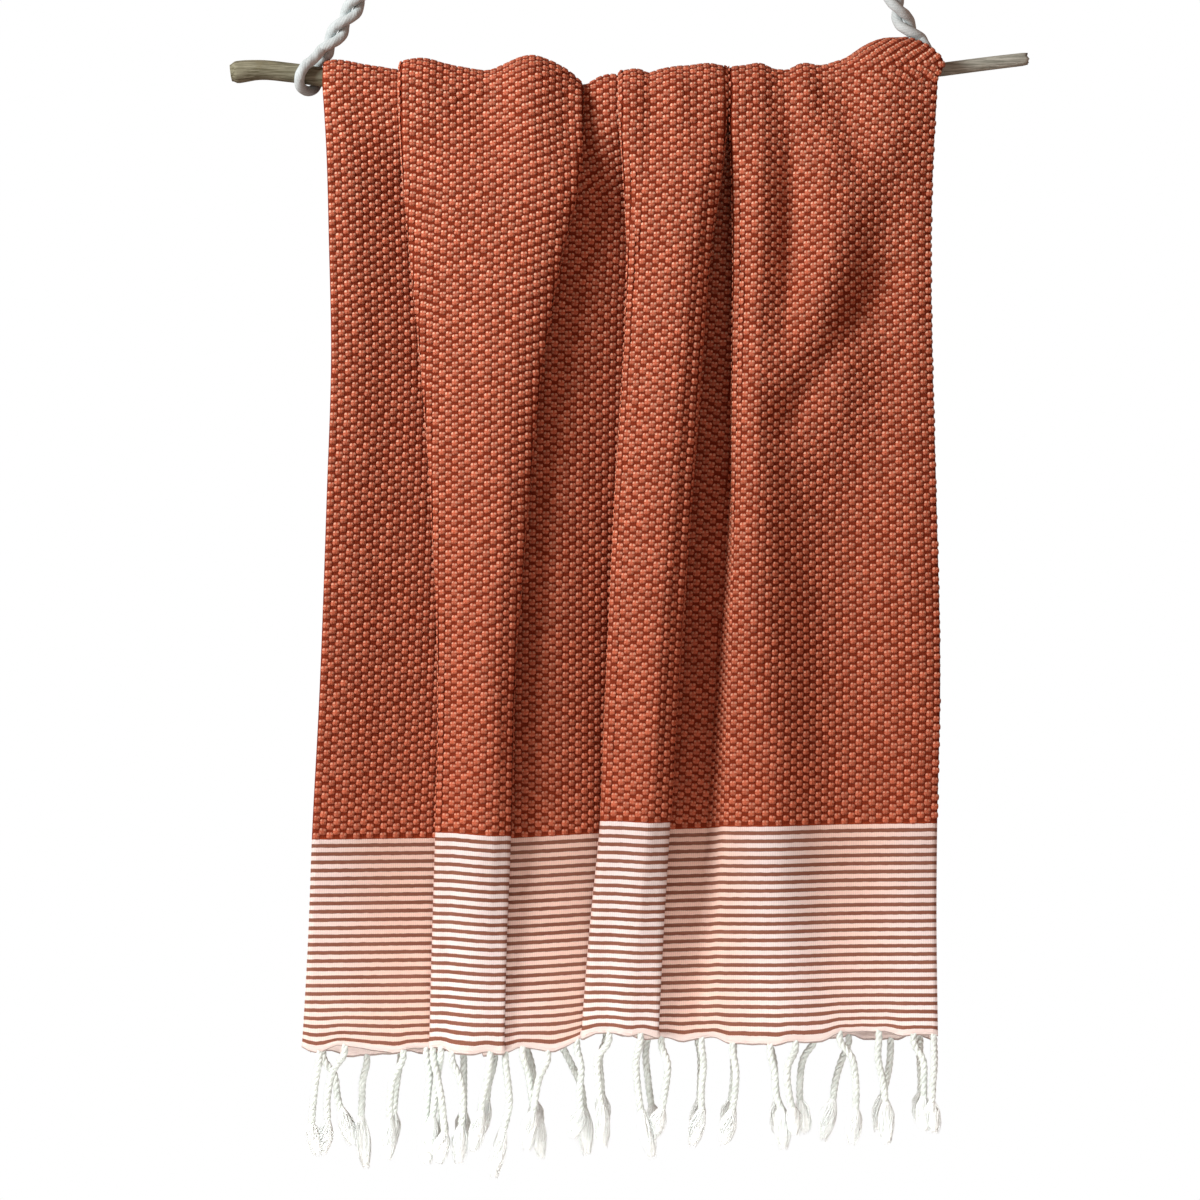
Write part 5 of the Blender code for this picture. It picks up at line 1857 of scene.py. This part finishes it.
def winding_tree():
    """Winds lays round each spline, each lay a tube."""
    tree, given, result = new_tree("wound cords", CORD_SIZES)
    size = given.outputs
    fine = add(
        tree,
        "GeometryNodeResampleCurve",
        {"mode": "LENGTH"},
        Curve=size["Geometry"],
        Length=CORD_STEP * MM,
    )
    copies = add(
        tree,
        "GeometryNodeDuplicateElements",
        {"domain": "SPLINE"},
        Geometry=fine,
        Amount=size["Lays"],
    )
    run = add(tree, "GeometryNodeSplineParameter").outputs["Length"]
    turns = add(tree, "ShaderNodeMath", {"operation": "DIVIDE"}, _0=run, _1=size["Pitch"])
    offset = add(
        tree,
        "ShaderNodeMath",
        {"operation": "DIVIDE"},
        _0=copies.outputs["Duplicate Index"],
        _1=size["Lays"],
    )
    place_round = add(tree, "ShaderNodeMath", {"operation": "ADD"}, _0=turns, _1=offset)
    angle = add(
        tree, "ShaderNodeMath", {"operation": "MULTIPLY"}, _0=place_round, _1=2 * math.pi
    )
    turned = add(
        tree,
        "ShaderNodeVectorRotate",
        {"rotation_type": "AXIS_ANGLE"},
        Vector=add(tree, "GeometryNodeInputNormal"),
        Axis=add(tree, "GeometryNodeInputTangent"),
        Angle=angle,
    )
    shift = add(
        tree, "ShaderNodeVectorMath", {"operation": "SCALE"}, Vector=turned, Scale=size["Spread"]
    )
    wound = add(
        tree, "GeometryNodeSetPosition", Geometry=copies.outputs["Geometry"], Offset=shift
    )
    ring = add(
        tree, "GeometryNodeCurvePrimitiveCircle", Resolution=8, Radius=size["Lay radius"]
    )
    lays = add(
        tree,
        "GeometryNodeCurveToMesh",
        Curve=wound,
        Profile_Curve=ring,
        Scale=add(tree, "GeometryNodeInputRadius"),
        Fill_Caps=True,
    )
    single = add(tree, "GeometryNodeRealizeInstances", Geometry=lays)
    painted = add(tree, "GeometryNodeSetMaterial", Geometry=single, Material=cord_yarn)
    tree.links.new(painted.outputs[0], result.inputs["Geometry"])
    return tree


winding = winding_tree()
print(winding.name, "has", len(winding.nodes), "nodes")

# %% [markdown]
# A tuft is too dense to draw every hair. A lumpy core gives it its body, and seventy coarse
# fibres over it break up its outline, each a copy of the tuft's line with a random place round it.

# %% A tuft's loose fibres
TUFT_SIZES = {"Fibres": 70, "Fibre radius": 0.55 * MM, "Seed": 7}
FIBRE_STEPS = 8
FIBRE_REACH = (0.45, 1.3)  # its root is the share of the tuft's radius, to fill it evenly
FIBRE_SPARE = (-0.35, 0.12)  # shorter or longer, as a share of the tuft's length
TUFT_LONG = 30.0
FIBRE_TIP = 0.35  # of a fibre's own radius
FIBRE_THINS = 0.6  # the share of a fibre's length after which it gets thinner


def loose_fibres(tree, size):
    """Copies of each spline, spread evenly round it out to its own radius, as thin tubes."""
    fine = add(
        tree,
        "GeometryNodeResampleCurve",
        {"mode": "COUNT"},
        Curve=size["Geometry"],
        Count=FIBRE_STEPS,
    )
    copies = add(
        tree,
        "GeometryNodeDuplicateElements",
        {"domain": "SPLINE"},
        Geometry=fine,
        Amount=size["Fibres"],
    )
    fibre = add(tree, "GeometryNodeCurveOfPoint").outputs["Curve Index"]
    angle, reach, length = (
        add(
            tree,
            "FunctionNodeRandomValue",
            {"data_type": "FLOAT"},
            _2=least,
            _3=most,
            ID=fibre,
            Seed=seed,
        )
        for least, most, seed in (
            (0.0, 2 * math.pi, size["Seed"]),
            (*FIBRE_REACH, 21),
            (*FIBRE_SPARE, 4),
        )
    )
    factor = add(tree, "GeometryNodeSplineParameter").outputs["Factor"]
    turned = add(
        tree,
        "ShaderNodeVectorRotate",
        {"rotation_type": "AXIS_ANGLE"},
        Vector=add(tree, "GeometryNodeInputNormal"),
        Axis=add(tree, "GeometryNodeInputTangent"),
        Angle=add(tree, "ShaderNodeMath", {"operation": "ADD"}, _0=angle, _1=factor),
    )
    even = add(tree, "ShaderNodeMath", {"operation": "SQRT"}, _0=reach)
    out = add(
        tree,
        "ShaderNodeMath",
        {"operation": "MULTIPLY"},
        _0=even,
        _1=add(tree, "GeometryNodeInputRadius"),
    )
    shift = add(tree, "ShaderNodeVectorMath", {"operation": "SCALE"}, Vector=turned, Scale=out)
    late = add(tree, "ShaderNodeMath", {"operation": "MULTIPLY"}, _0=factor, _1=length)
    lower = add(
        tree, "ShaderNodeMath", {"operation": "MULTIPLY"}, _0=late, _1=-TUFT_LONG * MM
    )
    drop = add(tree, "ShaderNodeCombineXYZ", Z=lower)
    moved = add(tree, "ShaderNodeVectorMath", {"operation": "ADD"}, _0=shift, _1=drop)
    spread = add(
        tree, "GeometryNodeSetPosition", Geometry=copies.outputs["Geometry"], Offset=moved
    )
    ring = add(
        tree, "GeometryNodeCurvePrimitiveCircle", Resolution=3, Radius=size["Fibre radius"]
    )
    taper = add(
        tree,
        "ShaderNodeMapRange",
        Value=factor,
        From_Min=FIBRE_THINS,
        To_Min=1.0,
        To_Max=FIBRE_TIP,
    )
    return add(
        tree,
        "GeometryNodeCurveToMesh",
        Curve=spread,
        Profile_Curve=ring,
        Scale=taper,
        Fill_Caps=True,
    )


# %% A tuft's core
CORE_SHARE = 0.82  # of a tuft's own radius
CORE_STEPS = 16
LUMP_DEPTH = 7.0  # from the deepest hollow to the highest lump
LUMP_SCALE = 190.0  # per metre: lumps 5 mm across


def soft_core(tree, size):
    """The tangled fibres in the middle, as one soft lump."""
    core_line = add(
        tree,
        "GeometryNodeResampleCurve",
        {"mode": "COUNT"},
        Curve=size["Geometry"],
        Count=CORE_STEPS,
    )
    core_radius = add(
        tree,
        "ShaderNodeMath",
        {"operation": "MULTIPLY"},
        _0=add(tree, "GeometryNodeInputRadius"),
        _1=CORE_SHARE,
    )
    core = add(
        tree,
        "GeometryNodeCurveToMesh",
        Curve=core_line,
        Profile_Curve=add(tree, "GeometryNodeCurvePrimitiveCircle", Resolution=14, Radius=1.0),
        Scale=core_radius,
        Fill_Caps=True,
    )
    lumps = add(tree, "ShaderNodeTexNoise", Scale=LUMP_SCALE, Detail=2.0, Roughness=0.6)
    swell = add(tree, "ShaderNodeMath", {"operation": "SUBTRACT"}, _0=lumps, _1=0.5)
    swell = add(tree, "ShaderNodeMath", {"operation": "MULTIPLY"}, _0=swell, _1=LUMP_DEPTH * MM)
    outward = add(
        tree,
        "ShaderNodeVectorMath",
        {"operation": "SCALE"},
        Vector=add(tree, "GeometryNodeInputNormal"),
        Scale=swell,
    )
    return add(tree, "GeometryNodeSetPosition", Geometry=core, Offset=outward)


# %% The tree that fluffs the tufts


def tuft_tree():
    """A lumpy core along each spline, and loose fibres over it."""
    tree, given, result = new_tree("loose tufts", TUFT_SIZES)
    both = add(tree, "GeometryNodeJoinGeometry", Geometry=loose_fibres(tree, given.outputs))
    tree.links.new(soft_core(tree, given.outputs).outputs[0], both.inputs[0])
    single = add(tree, "GeometryNodeRealizeInstances", Geometry=both)
    painted = add(tree, "GeometryNodeSetMaterial", Geometry=single, Material=tuft_yarn)
    tree.links.new(painted.outputs[0], result.inputs["Geometry"])
    return tree


fluffing = tuft_tree()
print(fluffing.name, "has", len(fluffing.nodes), "nodes")

# %% Run a tree on smooth lines
LINE_POINTS = 24


def from_lines(name, lines, radii, tree, sizes):
    """Runs a tree on smooth lines in millimetres and keeps what it makes as a plain mesh.

    radii are places along a line, from 0 to 1, and the splines' radius at each of them.
    """
    curve = bpy.data.curves.new(name + "_lines", "CURVE")
    curve.dimensions = "3D"
    for stops in lines:
        at, smoothed = smooth_line(stops, LINE_POINTS)
        spline = curve.splines.new("POLY")
        spline.points.add(len(at) - 1)
        for point, stop, t in zip(spline.points, smoothed, at / at[-1]):
            point.co = (*place(*stop), 1.0)
            point.radius = float(np.interp(t, *radii))
    guide = bpy.data.objects.new(name + "_guide", curve)
    bpy.context.scene.collection.objects.link(guide)
    made = run_tree(guide, name, tree, sizes)
    bpy.data.objects.remove(guide)
    return made


# %% The fringes
CORD_TAPER = ((0, 0.1, 0.9, 1), (0.8, 1.0, 1.0, 0.8))
TUFT_REACH = ((0, 0.15, 0.4, 0.75, 1), tuple(r * MM for r in (2.6, 4.4, 7.0, 6.8, 3.6)))
fringes = [
    from_lines(name, [both[part] for both in stops], radii, tree, sizes)
    for name, stops, part, radii, tree, sizes in (
        ("front_fringe_cords", front_stops, 0, CORD_TAPER, winding, CORD_SIZES),
        ("back_fringe_cords", back_stops, 0, CORD_TAPER, winding, CORD_SIZES),
        ("front_fringe_tufts", front_stops, 1, TUFT_REACH, fluffing, {**TUFT_SIZES, "Seed": 7}),
        ("back_fringe_tufts", back_stops, 1, TUFT_REACH, fluffing, {**TUFT_SIZES, "Seed": 8}),
    )
]
front_cords, back_cords, front_tufts, back_tufts = fringes
for piece in fringes:
    print(piece.name, len(piece.data.polygons), "faces")

# %% [markdown]
# ## Light and floor
#
# A big soft light high on the left and in front of the towel shades each fold on its right side.
# The room fills the shadows, a low light keeps the border and the fringe pale, and a pale floor
# lies below the fringe, under what the camera sees.

# %% World
ROOM_FILL = 0.27
ROOM_TINT = (1.0, 0.56, 0.41, 1.0)  # light that has bounced off warm walls and the cloth itself


def studio_world():
    """White to the camera, and a dimmer, warmer light as the room's fill light."""
    world = bpy.data.worlds.new("studio")
    world.use_nodes = True
    tree = world.node_tree
    background = tree.nodes["Background"]
    seen = add(tree, "ShaderNodeLightPath").outputs["Is Camera Ray"]
    strength = add(tree, "ShaderNodeMapRange", Value=seen, To_Min=ROOM_FILL, To_Max=1.0)
    tree.links.new(strength.outputs[0], background.inputs["Strength"])
    tint = add(
        tree, "ShaderNodeMix", {"data_type": "RGBA"}, Factor=seen, A=ROOM_TINT, B=colour("#FFFFFF")
    )
    tree.links.new(tint.outputs[2], background.inputs["Color"])
    bpy.context.scene.world = world
    bpy.context.scene.view_settings.view_transform = "Standard"


studio_world()
print("room fill", ROOM_FILL)

# %% Lamps


def softbox(name, target, away, size, watts, spread):
    """A soft light of a width and height in metres, "away" from its target and aimed at it."""
    lamp = bpy.data.lights.new(name, "AREA")
    lamp.shape = "RECTANGLE"
    lamp.size, lamp.size_y = size
    lamp.energy = watts
    lamp.spread = math.radians(spread)
    made = bpy.data.objects.new(name, lamp)
    bpy.context.scene.collection.objects.link(made)
    made.location = Vector(target) + Vector(away)
    made.rotation_euler = (-Vector(away)).to_track_quat("-Z", "Y").to_euler()


FRINGE_MIDDLE = place(315, 1090, 0)
LAMPS = (
    # name, target, away from it, width and height, watts, spread in degrees
    ("key", FRAME_CENTRE, (-2.15, -1.55, 1.3), (1.1, 1.1), 99.0, 180),
    ("fill", FRAME_CENTRE, (0.6, -2.9, 0.3), (1.6, 1.6), 7.0, 180),
    ("low fill", FRINGE_MIDDLE, (0.0, -0.75, -0.12), (1.2, 0.25), 1.2, 55),
)
for lamp in LAMPS:
    softbox(*lamp)
print("lamps:", ", ".join(lamp[0] for lamp in LAMPS))

# %% Floor
FLOOR_DROP = 1312.0
FLOOR_ALONG = (-600, 1200)
FLOOR_OUT = 900


def pale_floor():
    """Matt pale paint."""
    made, _, shader = start_material("pale studio floor")
    shader.inputs["Base Color"].default_value = colour("#E9E8E6")
    shader.inputs["Roughness"].default_value = 0.9
    return made


left, right = FLOOR_ALONG
corners = [place(along, FLOOR_DROP, FLOOR_OUT) for along in (left, right)]
corners += [place(along, FLOOR_DROP, -FLOOR_OUT) for along in (right, left)]
floor = add_piece("floor", corners, [(0, 1, 2, 3)], pale_floor(), recalculate=False)
print("floor at", rounded(corners[0]))

# %% [markdown]
# ## What each piece is in the frame
#
# Every piece takes the place of a solid and rides on the one body.

# %% Hand the pieces over
PIECES = (
    (stick, "stick", "stick"),
    (towel, "towel", "towel"),
    *((piece, "towel", "towel") for piece in pads),
    (front_cords, "front_fringe", "fringe"),
    (front_tufts, "front_fringe", "fringe"),
    (back_cords, "back_fringe", "fringe"),
    (back_tufts, "back_fringe", "fringe"),
    (left_rope, "left_rope", "rope"),
    (right_rope, "right_rope", "rope"),
)
for piece, node, slot in PIECES:
    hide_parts(node)
    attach(piece, "root")
